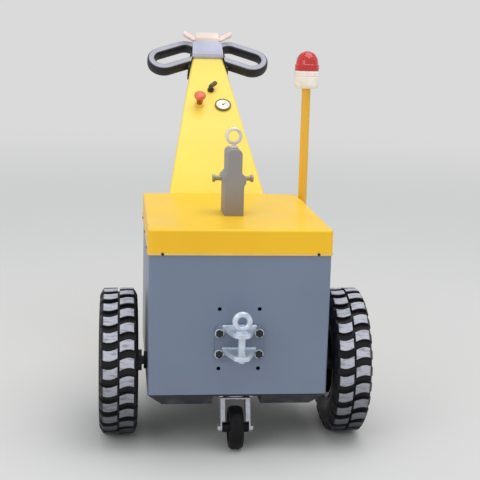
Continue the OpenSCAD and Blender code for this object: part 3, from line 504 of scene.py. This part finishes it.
# A lug's stations across a row: distance from the tyre's middle and radius, on the tread and then
# at the lug's root
lug_stations = ((0.0030, 0.2075, 0.003, 0.190), (0.0120, 0.2075, 0.012, 0.190),
                (0.0220, 0.2075, 0.022, 0.190), (0.0320, 0.2074, 0.032, 0.190),
                (0.0410, 0.2070, 0.040, 0.189), (0.0480, 0.1965, 0.042, 0.186),
                (0.0528, 0.1865, 0.044, 0.180), (0.0520, 0.1765, 0.045, 0.174))
row_in, row_out = lug_stations[0][0], lug_stations[-2][0]


def tread_row(name, side, phase):
    """One row of lugs round the tyre, shaped from a block sliced at the lug's stations."""
    count = len(lug_stations)
    deselect()
    bpy.ops.mesh.primitive_cube_add(size=1.0, location=(0.5, 0.0, (count - 1) / 2),
                                    scale=(1.0, 1.0, count - 1))
    row = named(name)
    bpy.ops.object.transform_apply(location=True, rotation=True, scale=True)
    bpy.ops.object.mode_set(mode="EDIT")
    for cut in range(1, count - 1):
        bpy.ops.mesh.select_all(action="SELECT")
        bpy.ops.mesh.bisect(plane_co=(0, 0, cut), plane_no=(0, 0, 1))
    bpy.ops.object.mode_set(mode="OBJECT")
    for corner in row.data.vertices:
        w, r, root_w, root_r = lug_stations[round(corner.co.z)]
        on_tread = corner.co.x > 0.5
        bow = lug_bow * (0.5 - math.sin(math.pi * min((w - row_in) / (row_out - row_in), 1.0)))
        along = math.copysign(lug_length / 2 + (0.0 if on_tread else lug_flare), corner.co.y) + bow
        turn = side * along / tyre_r + phase
        reach = r if on_tread else root_r
        corner.co = (reach * math.cos(turn), reach * math.sin(turn), side * (w if on_tread else root_w))
    bpy.ops.object.mode_set(mode="EDIT")
    bpy.ops.mesh.select_all(action="SELECT")
    bpy.ops.mesh.normals_make_consistent(inside=False)
    bpy.ops.object.mode_set(mode="OBJECT")
    ease_edges(row, lug_edge, 2, 30.0)
    bpy.ops.object.mode_set(mode="EDIT")
    bpy.ops.mesh.select_all(action="SELECT")
    bpy.ops.mesh.spin(steps=lug_count - 1, dupli=True, angle=2 * math.pi * (1 - 1 / lug_count),
                      center=(0, 0, 0), axis=(0, 0, 1))
    bpy.ops.object.mode_set(mode="OBJECT")
    return row


def joined(name, pieces):
    """One mesh made of several pieces."""
    deselect()
    for piece in pieces:
        piece.select_set(True)
    bpy.context.view_layer.objects.active = pieces[0]
    bpy.ops.object.join()
    return named(name)


def rubber_dust_sheen_and_shade(name, x):
    """Black rubber: the treads pale bluish grey, partly dust and partly a painted sheen of sky
    reflection, and painted darker near the ground as painted shade.
    """
    finish, tree, place = new_finish(name)
    centred = node_in(tree, "VectorMath", {0: place, 1: (x, axle_y, axle_z)},
                      operation="SUBTRACT").outputs[0]
    flat = node_in(tree, "VectorMath", {0: centred, 1: (0.0, 1.0, 1.0)}, operation="MULTIPLY").outputs[0]
    reach = node_in(tree, "VectorMath", {0: flat}, operation="LENGTH").outputs["Value"]
    streaks = noise(tree, stretched(tree, centred, 40.0, 150.0, 150.0), 1.0, 4.0)
    streaks = ramped(tree, streaks, 0.12, 0.50)
    # The tread mask: the treads' pale tone is partly dust and partly a painted sheen of sky reflection.
    dust = combined(tree, "MULTIPLY", ramped(tree, reach, tyre_r - 0.0030, tyre_r - 0.0006), streaks)
    black = blended(tree, noise(tree, centred, 30.0, 4.0), (0.008, 0.008, 0.010, 1.0),
                    (0.016, 0.016, 0.020, 1.0))
    film = combined(tree, "MULTIPLY", ramped(tree, noise(tree, centred, 16.0, 5.0), 0.50, 0.80), 0.06)
    tone = blended(tree, film, black, paint_tone(120, 112, 100))
    # Painted shade: the tread tone darkens towards the ground.
    painted_ground_shade = ramped(tree, axis_value(tree, place, 2), 0.04, 0.27)
    tread_dust_and_sheen = blended(tree, painted_ground_shade, (0.055, 0.056, 0.062, 1.0), (0.56, 0.57, 0.64, 1.0))
    tone = blended(tree, combined(tree, "MULTIPLY", dust, 0.95), tone, tread_dust_and_sheen)
    rough = ramped(tree, dust, 0.0, 1.0, 0.46, 0.80)
    grain = bumps(tree, noise(tree, centred, 700.0, 3.0), 0.25, 0.0004)
    return surface(finish, tone, rough, Normal=grain, Specular_IOR_Level=0.2)


def wheel_place(side):
    return moved(side * wheel_x, axle_y, axle_z) @ Matrix.Rotation(side * math.pi / 2, 4, "Y")


wheels = {"left": -1, "right": 1}
for name, side in wheels.items():
    casing = turned("casing", section, 4 * lug_count, None, 28.0)
    rows = [tread_row("row_out", 1, 0.0), tread_row("row_in", -1, math.pi / lug_count)]
    tyre = joined("tyre_" + name + "_rubber", [casing] + rows)
    tyre.data.transform(wheel_place(side))
    fit(tyre, rubber_dust_sheen_and_shade("rubber_" + name, side * wheel_x), "wheel_" + name, "tyre", "tyre_" + name)

# Rims and hubs: a pressed steel rim with a dished disc, sprayed black, on a dark oiled steel hub
# with four nuts and a plain cap. A rubber valve stands in the barrel.
rim_r = bead_bore
barrel_r = rim_r - 0.0035
lip_r, lip_out = 0.1125, 0.0455
rim_outline = [(barrel_r, -0.042), (barrel_r, -0.006), (barrel_r, 0.0225), (rim_r - 0.020, 0.0225),
               (0.058, 0.0060), (0.030, 0.0060), (0.030, 0.0095), (0.056, 0.0095),
               (rim_r - 0.022, 0.0260), (barrel_r, 0.0260), (barrel_r, 0.0420),
               (lip_r - 0.003, lip_out), (lip_r, lip_out - 0.0006), (lip_r, 0.0430),
               (rim_r + 0.0008, 0.0418), (rim_r, 0.0330), (rim_r - 0.002, 0.0), (rim_r, -0.0330),
               (rim_r + 0.0008, -0.0418), (lip_r, -0.0430), (lip_r, -lip_out + 0.0006),
               (lip_r - 0.003, -lip_out), (barrel_r, -0.042)]
rim_black = enamel("rim_black", paint_tone(30, 31, 34), 0.36, 0.25, dust=0.15, dust_top=0.34)
hub_steel = plated("hub_steel", (0.085, 0.090, 0.115, 1.0), 0.34, 0.52, 40.0, 0.6)
valve_rubber = pebbled("valve_rubber", paint_tone(28, 28, 30), 0.6, 700.0)
valve_outline = softened([(0.0, 0.025), (0.0035, 0.025), (0.0035, 0.015), (0.0048, 0.013),
                          (0.0055, 0.0), (0.0, 0.0)], 0.0008)
valve_round, valve_lean = math.radians(38), math.radians(-18)
valve_in_wheel = (Matrix.Rotation(valve_round, 4, "Z") @ moved(rim_r - 0.0045, 0, 0.028)
                  @ Matrix.Rotation(valve_lean, 4, "Y"))
for name, side in wheels.items():
    rim = turned("rim_" + name + "_steel", softened(rim_outline, 0.0014, 2), 96, wheel_place(side), 30.0)
    fit(rim, rim_black, "wheel_" + name, "rim_paint", "rim_" + name)
    valve = turned("valve_" + name, valve_outline, 20, wheel_place(side) @ valve_in_wheel)
    fit(valve, valve_rubber, "wheel_" + name, "tyre")
coat(hub_steel, "hub_left", "hub_right")

# Hitch: two zinc-plated steel jaws welded to a base plate that is sprayed over with the panel's
# grey, four black bolts with washers, and a plated drop pin with a thick ring.
jaw_edge = 0.0014
jaw_thick, jaw_gap, plate_thick = 0.012, 0.050, 0.008
pin_reach = 0.013
face_slack = 0.0005
bead_size = 0.0048
bead_pitch = 0.0030
bead_waver = 0.0004
bolt_across = 0.0095
bolt_high = 0.0064
hitch_zinc = plated("hitch_zinc", (0.70, 0.77, 0.88, 1.0), 0.26, 0.44, 45.0, 0.45)
plate_grey = enamel("plate_grey", paint_tone(108, 120, 140), 0.40, 0.15)
bracket_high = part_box("tow_bracket")[1]
plate_face = bracket_high.y - plate_thick
pin_low, pin_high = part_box("tow_pin")
pin_bore = ((pin_low + pin_high) / 2, Vector((0, 0, 1)), pin_reach)
bracket = fit(eased("tow_bracket", jaw_edge, 3, holes=[*panel_holes, pin_bore]),
              hitch_zinc, "chassis", "hitch_zinc", "tow_bracket")
bracket.data.materials.append(plate_grey)
for face in bracket.data.polygons:
    face.material_index = int(face.center.y > plate_face - face_slack)
coat(hitch_zinc, "tow_pin")


def weld_bead(name, start, end):
    """A bead of overlapping ripples between two points."""
    deselect()
    bpy.ops.mesh.primitive_uv_sphere_add(segments=10, ring_count=6, radius=1.0)
    ripple = named(name)
    bpy.ops.object.mode_set(mode="EDIT")
    bpy.ops.mesh.select_all(action="SELECT")
    bpy.ops.transform.resize(value=(bead_size * 0.55, bead_size * 0.75, bead_size * 0.75))
    bpy.ops.object.mode_set(mode="OBJECT")
    bpy.ops.object.shade_smooth()
    start, end = Vector(start), Vector(end)
    turn = (end - start).to_track_quat("X", "Z").to_matrix().to_4x4()
    count = max(2, round((end - start).length / bead_pitch))
    places = []
    for i in range(count + 1):
        waver = Vector((0, 0, bead_waver * math.sin(i * 2.3)))
        places.append(Matrix.Translation(start.lerp(end, i / count) + waver) @ turn)
    return repeated(ripple, places)


# A bead runs along the upper and the lower face of each jaw, just off it
jaw_root, bead_off = 0.044, 0.001
beads = []
for jaw_top in (bracket_high.z, bracket_high.z - jaw_thick - jaw_gap):
    for z in (jaw_top + bead_off, jaw_top - jaw_thick - bead_off):
        beads.append(weld_bead("bead", (-jaw_root, plate_face, z), (jaw_root, plate_face, z)))
fit(joined("hitch_welds", beads), hitch_zinc, "chassis", "hitch_zinc")


def inset_faces(piece, chosen, *steps):
    """Insets the faces that a test picks, once for each pair of thickness and depth."""
    take(piece)
    bpy.ops.object.mode_set(mode="EDIT")
    bpy.ops.mesh.select_mode(type="FACE")
    bpy.ops.mesh.select_all(action="DESELECT")
    bpy.ops.object.mode_set(mode="OBJECT")
    for face in piece.data.polygons:
        face.select = chosen(face)
    bpy.ops.object.mode_set(mode="EDIT")
    for thickness, depth in steps:
        bpy.ops.mesh.inset(thickness=thickness, depth=depth)
    bpy.ops.mesh.select_mode(type="VERT")
    bpy.ops.object.mode_set(mode="OBJECT")


def hex_head(name, across, high):
    """A bolt's head: a hexagon with its corners turned off on top, standing on z = 0."""
    deselect()
    bpy.ops.mesh.primitive_cylinder_add(vertices=6, radius=across / math.cos(math.pi / 6), depth=high,
                                        location=(0, 0, high / 2))
    head = named(name)
    bpy.ops.object.transform_apply(location=True)
    inset_faces(head, lambda face: face.normal.z > 0.9,
                (across * 0.16, across * 0.07), (across * 0.10, -across * 0.05))
    return ease_edges(head, across * 0.05, 2, 40.0)


washer_in, washer_out, washer_thick = 0.0055, 0.0125, 0.002
bolt_places = [moved(side * bolt_column, plate_face, z) @ facing["-Y"]
               for side in (-1, 1) for z in bolt_rows]
heads = repeated(hex_head("hitch_bolts", bolt_across, bolt_high),
                 [place @ moved(0, 0, washer_thick) for place in bolt_places])
fit(heads, black_steel, "chassis", "bracket_black")
washer = turned("hitch_washers", softened([(washer_in, washer_thick), (washer_out, washer_thick),
                                           (washer_out, 0.0), (washer_in, 0.0),
                                           (washer_in, washer_thick)], washer_thick * 0.3), 32)
fit(repeated(washer, bolt_places), hitch_zinc, "chassis", "hitch_zinc")

# Castors: a plated mounting plate with its swivel race, a pressed fork, and a black rubber wheel
# on a bolt with two nuts. Four bolts with their heads down hold each plate in its pocket.
castor_zinc = plated("castor_zinc", (0.56, 0.58, 0.64, 1.0), 0.28, 0.46, 60.0)
axle_zinc = plated("axle_zinc", (0.68, 0.70, 0.74, 1.0), 0.20, 0.34, 60.0)
# Black rubber, its tone set darker still as painted shade on the wheel beneath the body.
castor_black_and_shade = pebbled("castor_rubber", paint_tone(12, 12, 15), 0.50, 420.0, gloss=0.2)
plate_edge, fork_edge, nut_edge = 0.0008, 0.0005, 0.0004
castor_plate_thick = 0.005
castor_bolt_x, castor_bolt_y = 0.042, 0.039
small_across, small_high = 0.0065, 0.0053
roller_bore, roller_tread = 0.0061, 0.019
for castor in ("castor_front", "castor_rear"):
    roller = castor + "_roller"
    fit(eased(castor + "_plate", plate_edge), castor_zinc, "chassis", "castor_zinc", castor + "_plate")
    fit(eased(castor + "_fork", fork_edge), castor_zinc, castor, "castor_zinc", castor + "_fork")
    fit(eased(castor + "_axle", nut_edge), axle_zinc, castor, "castor_zinc", castor + "_axle")
    wheel_low, wheel_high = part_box(castor + "_wheel")
    middle = (wheel_low + wheel_high) / 2
    r, half, tread = (wheel_high.z - wheel_low.z) / 2, (wheel_high.x - wheel_low.x) / 2, roller_tread
    outline = [(roller_bore, half), (0.013, half), (0.0145, tread - 0.004), (r - 0.026, tread - 0.0045),
               (r - 0.0165, tread - 0.004), (r - 0.014, tread), (r - 0.005, tread),
               (r - 0.001, tread - 0.006), (r, tread - 0.012), (r, 0.0)]
    outline += [(radius, -w) for radius, w in reversed(outline[:-1])] + [(roller_bore, half)]
    turned_to_x = moved(*middle) @ Matrix.Rotation(math.pi / 2, 4, "Y")
    wheel = turned(castor + "_tyre", softened(outline, 0.0012), 72, turned_to_x, 28.0)
    fit(wheel, castor_black_and_shade, roller, "castor_tread", castor + "_wheel")
    plate_low, plate_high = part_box(castor + "_plate")
    centre_y, under_plate = (plate_low.y + plate_high.y) / 2, plate_high.z - castor_plate_thick
    places = [moved(x * castor_bolt_x, centre_y + y * castor_bolt_y, under_plate) @ facing["-Z"]
              for x in (-1, 1) for y in (-1, 1)]
    bolts = repeated(hex_head(castor + "_bolts", small_across, small_high), places)
    fit(bolts, axle_zinc, "chassis", "castor_zinc")

# Column: a folded channel with a welded end cap and a closing plate, standing on a flange that is
# bolted to the rear panel. It is yellow as the hood is; its face is painted paler as painted light
# where it faces the sky, with painted highlights along its edges, and deeper yellow near the hood.
column_edge, back_edge, foot_edge = 0.0008, 0.0006, 0.0012
# The face's paler yellow is painted light from the sky. It fades to a deeper yellow near the hood, and
# its edges carry a painted highlight.
column_yellow_painted_light = enamel("column_yellow_painted_light", paint_tone(252, 220, 88), 0.42, 0.16,
                       lower=(paint_tone(254, 216, 50), hood_top, hood_top + 0.16),
                       painted_edge_highlight=(paint_tone(255, 243, 168), 0.014))
column = fit(eased("column", column_edge, 2, 24.0), column_yellow_painted_light, "chassis", "hood_paint", "column")
fit(eased("column_back", back_edge), hood_yellow, "chassis", "hood_paint", "column_back")
fit(eased("column_foot", foot_edge), hood_yellow, "chassis", "hood_paint", "column_foot")
foot_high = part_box("column_foot")[1]
panel_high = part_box("rear_panel")[1]
foot_thick = 0.005
foot_margin = 0.009
plate_top = foot_high.z - foot_margin
foot_rows = (0.004, 0.062, 0.120)
places = [moved(side * (foot_high.x - foot_margin), panel_high.y + foot_thick, plate_top - down)
          @ facing["+Y"] for side in (-1, 1) for down in foot_rows]
foot_bolts = repeated(hex_head("foot_bolts", small_across, small_high), places)
fit(foot_bolts, axle_zinc, "chassis", "hub_steel")

# The slope's own frame: Y runs up the column's face and Z stands on it
column_slope, slope_start = math.radians(40.0), 0.505
on_slope = moved(0.0, panel_high.y, slope_start) @ Matrix.Rotation(column_slope, 4, "X")
slope_normal = on_slope.col[2].to_3d()
# Faces turned away from the slope take the hood's yellow; only the face keeps the paler painted light.
column.data.materials.append(hood_yellow)
for face in column.data.polygons:
    face.material_index = int(face.normal.dot(slope_normal) < 0.30)

# Controls on the column's face: an orange-red mushroom stop button, a lock with a black-bowed key
# turned to the right, and a round charge gauge with an olive bezel and a cream dial under glass.
stop_at, key_at, gauge_at = (-0.041, 0.578), (0.003, 0.652), (0.043, 0.575)


def glossy(name, colour, rough, coat_weight=0.4):
    """Smooth moulded plastic, with a slight cloud in its tone and faint handling marks."""
    finish, tree, place = new_finish(name)
    cloud = noise(tree, place, 40.0, 3.0)
    tone = clouded(tree, cloud, colour, 0.90, 1.08)
    marks = ramped(tree, noise(tree, stretched(tree, place, 30.0, 400.0, 120.0), 1.0, 3.0), 0.4, 0.8,
                   rough, rough * 1.5)
    return surface(finish, tone, marks, Normal=bumps(tree, noise(tree, place, 350.0), 0.06, 0.0003),
                   Coat_Weight=coat_weight, Coat_Roughness=0.06)


stop_red = glossy("stop_red", paint_tone(230, 104, 64), 0.30)
control_black = glossy("control_black", paint_tone(38, 32, 26), 0.34)
stop_place = on_slope @ moved(*stop_at, 0.0)
stop_outline = [(0.0, 0.054), (0.008, 0.054), (0.015, 0.0525), (0.0195, 0.049), (0.021, 0.044),
                (0.0205, 0.0405), (0.0185, 0.0388), (0.0165, 0.0385), (0.011, 0.0342), (0.0, 0.0342)]
stop_cap = turned("stop_cap", softened(stop_outline, 0.0015), 48, stop_place)
fit(stop_cap, stop_red, "chassis", "stop_red", "stop_button")
# The neck is painted dark brown as painted shadow beneath the cap.
neck_outline = [(0.0, 0.0345), (0.0135, 0.0345), (0.0125, 0.0265), (0.0095, 0.0075), (0.0, 0.0075)]
neck_painted_shadow = glossy("neck_painted_shadow", paint_tone(160, 64, 10), 0.4)
stop_neck = turned("stop_neck", softened(neck_outline, 0.0010), 40, stop_place)
fit(stop_neck, neck_painted_shadow, "chassis", "stop_red")
collar_outline = [(0.0, 0.0082), (0.0105, 0.0082), (0.0110, 0.0076), (0.0142, 0.0066),
                  (0.0170, 0.0040), (0.0170, 0.0), (0.0, 0.0)]
collar_yellow = glossy("collar_yellow", paint_tone(248, 206, 62), 0.34)
stop_collar = turned("stop_collar", softened(collar_outline, 0.0010), 40, stop_place)
fit(stop_collar, collar_yellow, "chassis", "stop_red")

key_turn = math.radians(45.0)
key_place = on_slope @ moved(*key_at, 0.0) @ Matrix.Rotation(-key_turn, 4, "Z")
lock_outline = [(0.0, 0.0100), (0.0070, 0.0100), (0.0078, 0.0110), (0.0090, 0.0110), (0.0120, 0.0060),
                (0.0120, 0.0), (0.0, 0.0)]
key_lock = turned("key_lock", softened(lock_outline, 0.0008), 40, key_place)
fit(key_lock, control_black, "chassis", "key_black", "key_switch")
key_steel = plated("key_steel", (0.70, 0.71, 0.72, 1.0), 0.16, 0.30, 90.0, 0.9)
blade_size, blade_z, blade_edge = (0.0024, 0.0078, 0.0030), 0.0115, 0.0003
deselect()
bpy.ops.mesh.primitive_cube_add(size=1.0, location=(0, 0, blade_z), scale=blade_size)
blade = named("key_stem")
bpy.ops.object.transform_apply(location=True, scale=True)
ease_edges(blade, blade_edge)
blade.data.transform(key_place)
fit(blade, key_steel, "chassis", "gauge_face")
bow_length, bow_height, bow_thick, bow_back, bow_foot = 0.038, 0.017, 0.009, 0.009, 0.013
bow_edge, bow_rim, bow_hollow = 0.0007, 0.0022, 0.0008
deselect()
bpy.ops.mesh.primitive_cylinder_add(vertices=48, radius=bow_height / 2, depth=bow_thick)
bow = named("key_bow")
for corner in bow.data.vertices:
    corner.co.x += math.copysign((bow_length - bow_height) / 2, corner.co.x)
inset_faces(bow, lambda face: abs(face.normal.z) > 0.9, (bow_rim, -bow_hollow))
ease_edges(bow, bow_edge)
bow.data.transform(key_place @ moved(0.0, bow_length / 2 - bow_back, bow_foot + bow_height / 2)
                   @ Matrix.Rotation(math.pi / 2, 4, "Z") @ Matrix.Rotation(math.pi / 2, 4, "X"))
fit(bow, control_black, "chassis", "key_black")

gauge_place = on_slope @ moved(*gauge_at, 0.0)
bezel_outline = [(0.0235, 0.0068), (0.0240, 0.0088), (0.0268, 0.0090), (0.0288, 0.0066),
                 (0.0290, 0.0), (0.0235, 0.0), (0.0235, 0.0068)]
bezel_grey = glossy("bezel_grey", paint_tone(112, 108, 70), 0.30)
bezel = turned("gauge_bezel", softened(bezel_outline, 0.0008), 64, gauge_place)
fit(bezel, bezel_grey, "chassis", "key_black", "gauge")
dial_outline = [(0.0, 0.0060), (0.0180, 0.0061), (0.0236, 0.0066), (0.0236, 0.0020), (0.0, 0.0020)]
dial_cream = glossy("dial_cream", paint_tone(240, 234, 214), 0.12, 1.0)
fit(turned("gauge_dial", dial_outline, 64, gauge_place), dial_cream, "chassis", "gauge_face")
tick_span, tick_count, tick_r, tick_z = math.radians(220), 11, 0.0168, 0.0064
long_tick, short_tick = (0.0010, 0.0048, 0.0004), (0.0006, 0.0030, 0.0004)
hand_turn, hand_length, hand_y, hand_z = math.radians(-62), 0.0190, 0.0065, 0.0070
marks = []
for i in range(tick_count):
    deselect()
    bpy.ops.mesh.primitive_cube_add(size=1.0, location=(0, tick_r, tick_z),
                                    scale=long_tick if i % 5 == 0 else short_tick)
    mark = named("gauge_mark")
    bpy.ops.object.transform_apply(location=True, scale=True)
    mark.data.transform(Matrix.Rotation(tick_span * (0.5 - i / (tick_count - 1)), 4, "Z"))
    marks.append(mark)
deselect()
bpy.ops.mesh.primitive_cone_add(vertices=16, radius1=0.0011, radius2=0.0003, depth=hand_length)
hand = named("gauge_mark")
hand.data.transform(Matrix.Rotation(hand_turn, 4, "Z") @ moved(0, hand_y, hand_z)
                    @ Matrix.Rotation(-math.pi / 2, 4, "X"))
marks.append(hand)
boss_outline = [(0.0, 0.0084), (0.0026, 0.0082), (0.0030, 0.0058), (0.0, 0.0058)]
marks.append(turned("gauge_mark", softened(boss_outline, 0.0004), 24))
gauge_marks = joined("gauge_marks", marks)
gauge_marks.data.transform(gauge_place)
fit(gauge_marks, control_black, "chassis", "key_black")

# Handle: a moulded housing of two shells at the column's end, its far part in another, rosier
# plastic. A looped grip on each side is black, with a pale grey painted reflection of the sky along
# its crest, and a thumb lever with two pale paddles stands at the far end.
head_grey = pebbled("head_grey", paint_tone(182, 184, 204), 0.42, 380.0)
head_rose = pebbled("head_rose", paint_tone(226, 209, 200), 0.42, 380.0)
head_black = pebbled("head_black", paint_tone(38, 38, 43), 0.48, 380.0)
paddle_pink = glossy("paddle_pink", paint_tone(250, 225, 219), 0.34)
grip_black = pebbled("grip_black", paint_tone(20, 20, 24), 0.50, 260.0, 0.0008)
cover_edge, shell_edge, lever_edge, grip_edge = 0.0005, 0.0008, 0.0006, 0.0007
head_start, far_part = 0.822, 0.073
crest_start, crest_full = 0.0096, 0.0112


def crest_sheen_plastic(name, crown, skirt):
    """Plastic with a pale tone along a grip's crest, a painted reflection of the sky, and its own colour
    down its sides.
    """
    finish, tree, place = new_finish(name)
    across = node_in(tree, "VectorMath", {0: place, 1: on_slope.translation},
                     operation="SUBTRACT").outputs[0]
    above = node_in(tree, "VectorMath", {0: across, 1: slope_normal}, operation="DOT_PRODUCT")
    share = ramped(tree, above.outputs["Value"], crest_start, crest_full)
    patches = ramped(tree, noise(tree, place, 14.0, 3.0), 0.3, 0.7)
    # The crest's pale tone is a painted reflection of the sky on the black plastic.
    worn = blended(tree, patches, lighter(crown, 0.88), lighter(crown, 1.08))
    tone = blended(tree, share, skirt, worn)
    haze = ramped(tree, patches, 0.0, 1.0, 0.38, 0.52)
    return surface(finish, tone, haze, Normal=bumps(tree, noise(tree, place, 300.0), 0.30, 0.0005))


# The grips' pale grey crest is a painted reflection of the sky; below it they are black.
grip_crest_sheen = crest_sheen_plastic("grip_crest_sheen", paint_tone(172, 173, 186), paint_tone(20, 20, 24))
cover = fit(eased("head_cover", cover_edge, 2, 12.0), head_grey, "chassis", "head_grey", "head_cover")
cover.data.materials.append(head_rose)
for face in cover.data.polygons:
    up_slope = (on_slope.inverted() @ face.center).y
    face.material_index = int(up_slope > head_start + far_part - face_slack)
fit(eased("head_shell", shell_edge), head_black, "chassis", "head_black", "head_shell")
fit(eased("thumb_lever", lever_edge), paddle_pink, "chassis", "paddle", "thumb_lever")
for side in ("left", "right"):
    crest, grip = "grip_cover_" + side, "grip_" + side
    fit(eased(crest, grip_edge, 2, 50.0), grip_crest_sheen, "chassis", "head_grey", crest)
    fit(eased(grip, grip_edge, 2, 50.0), grip_black, "chassis", "head_black", grip)

# Beacon: a red ribbed dome over a lamp on a cream plastic base, on a painted tube that a black
# two-arm bracket clamps to the body's right-hand side.
bracket_edge = 0.0006
pole_yellow = enamel("pole_yellow", paint_tone(240, 184, 44), 0.26, 0.45)
bracket_black = enamel("bracket_black", paint_tone(36, 37, 40), 0.42, 0.15)
coat(pole_yellow, "beacon_pole")
fit(eased("beacon_bracket", bracket_edge), bracket_black, "chassis", "bracket_black", "beacon_bracket")
base_low, base_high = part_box("beacon_base")
dome_low, dome_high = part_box("beacon_dome")
pole_x, pole_y = (base_low.x + base_high.x) / 2, (base_low.y + base_high.y) / 2
beacon_r = (base_high.x - base_low.x) / 2
base_h, dome_h = base_high.z - base_low.z, dome_high.z - dome_low.z
base_place = moved(pole_x, pole_y, base_low.z)
groove_r = beacon_r - 0.0012
base_outline = [(0.0, base_h), (beacon_r - 0.002, base_h), (beacon_r, base_h - 0.004),
                (beacon_r, base_h - 0.016), (groove_r, base_h - 0.017), (groove_r, base_h - 0.019),
                (beacon_r, base_h - 0.020), (beacon_r, 0.010), (beacon_r - 0.002, 0.004),
                (beacon_r - 0.006, 0.0), (0.0, 0.0)]
base_cream = glossy("base_cream", paint_tone(250, 241, 232), 0.36)
base = turned("beacon_base_ring", softened(base_outline, 0.0012), 64, base_place)
fit(base, base_cream, "chassis", "beacon_white", "beacon_base")

# The lens is a shell that is round on top, and its inner face has upright ribs
dome_r = beacon_r - 0.001
dome_place = moved(pole_x, pole_y, dome_low.z)
outer = [(0.0, dome_h)] + [((dome_r - 0.003) * math.sin(turn), dome_h * (0.35 + 0.65 * math.cos(turn)))
                           for turn in map(math.radians, range(10, 91, 8))]
outer += [(dome_r - 0.0025, dome_h * 0.33), (dome_r, dome_h * 0.30), (dome_r, 0.0)]
inner = [(dome_r - 0.004, 0.0)]
inner += [((dome_r - 0.006) * math.cos(turn), dome_h * (0.33 + 0.60 * math.sin(turn)))
          for turn in map(math.radians, range(0, 90, 9))]
lens_steps = 96
dome = turned("beacon_dome_lens", outer + inner + [(0.0, dome_h * 0.93)], lens_steps, dome_place, 50.0)
rib_depth, rib_low, rib_high = 0.0011, 0.006, dome_h * 0.85
centre = Vector((pole_x, pole_y, 0.0))
for corner in dome.data.vertices:
    out = Vector((corner.co.x, corner.co.y, 0.0)) - centre
    inside = out.length < dome_r - 0.0055 and rib_low < corner.co.z - dome_low.z < rib_high
    if inside and round(math.degrees(math.atan2(out.y, out.x)) * lens_steps / 360) % 2:
        corner.co -= out.normalized() * rib_depth


def lens_red(name):
    """Clear red plastic, a little cloudy, so that the lamp inside shows only as a darker shape."""
    finish, tree, place = new_finish(name)
    cloud = noise(tree, place, 30.0, 2.0)
    tone = blended(tree, cloud, (0.80, 0.018, 0.020, 1.0), (0.96, 0.034, 0.034, 1.0))
    haze = ramped(tree, cloud, 0.3, 0.7, 0.12, 0.20)
    return surface(finish, tone, haze, Transmission_Weight=0.45, IOR=1.49, Coat_Weight=0.6,
                   Coat_Roughness=0.04)


fit(dome, lens_red("lens_red"), "chassis", "beacon_red", "beacon_dome")
lamp_outline = [(0.0, 0.042), (0.009, 0.040), (0.013, 0.033), (0.013, 0.008), (0.024, 0.006),
                (0.024, 0.001), (0.0, 0.001)]
lamp_grey = glossy("lamp_grey", paint_tone(120, 96, 96), 0.25)
lamp = turned("beacon_lamp", softened(lamp_outline, 0.0015), 32, dome_place)
fit(lamp, lamp_grey, "chassis", "beacon_white")
clamp_low, clamp_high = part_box("beacon_bracket")
clamp_half = (clamp_high.y - clamp_low.y) / 2
clamp_bolt_x = clamp_low.x + 0.0085
clamp_rows = (0.017, 0.063)
screw_across, screw_high = 0.0045, 0.0036
places = [moved(clamp_bolt_x, pole_y + side * clamp_half, clamp_low.z + up) @ facing[way]
          for side, way in ((-1, "-Y"), (1, "+Y")) for up in clamp_rows]
clamp_screws = repeated(hex_head("clamp_screws", screw_across, screw_high), places)
fit(clamp_screws, axle_zinc, "chassis", "bracket_black")

# Lifting post: a painted steel block on the hood with a waist and ears, a plated cross pin
# through it, and a bright forged eye on top; the block's lower part is painted warmer as a painted
# reflection of the yellow hood.
# The lower tone is a painted reflection of the yellow hood on the grey block.
post_grey = enamel("post_grey", paint_tone(146, 146, 150), 0.50, 0.0,
                   lower=(paint_tone(142, 128, 118), hood_top + 0.01, hood_top + 0.09))
pin_steel = plated("pin_steel", (0.40, 0.37, 0.26, 1.0), 0.34, 0.50, 60.0, 0.55)
eye_bright = plated("eye_bright", (0.80, 0.76, 0.64, 1.0), 0.26, 0.42, 50.0, 0.45)
post_edge = 0.0010
fit(eased("lifting_post", post_edge), post_grey, "chassis", "post_grey", "lifting_post")
fit(eased("cross_pin", post_edge), pin_steel, "chassis", "eye_metal", "cross_pin")
eye_low, eye_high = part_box("lifting_eye")
post_y = (eye_low.y + eye_high.y) / 2
eye_outer, eye_inner, eye_half, eye_slant = 0.025, 0.015, 0.006, 0.003
collar_r, collar_top, stem_top = 0.013, 0.005, 0.014
loop_outline = [(eye_inner, 0.0), (eye_inner, eye_half), (eye_outer - eye_slant, eye_half),
                (eye_outer, eye_half - eye_slant), (eye_outer, eye_slant - eye_half),
                (eye_outer - eye_slant, -eye_half), (eye_inner, -eye_half), (eye_inner, 0.0)]
loop = turned("eye_loop", softened(loop_outline, 0.0016), 64,
              moved(0, post_y, eye_high.z - eye_outer) @ facing["-Y"])
stem_outline = [(0, stem_top), (eye_half, stem_top), (eye_half, collar_top), (collar_r, collar_top),
                (collar_r, 0), (0, 0)]
stem = turned("eye_stem", softened(stem_outline, 0.0012), 48, moved(0, post_y, eye_low.z))
fit(joined("forged_eye", [loop, stem]), eye_bright, "chassis", "eye_metal", "lifting_eye")
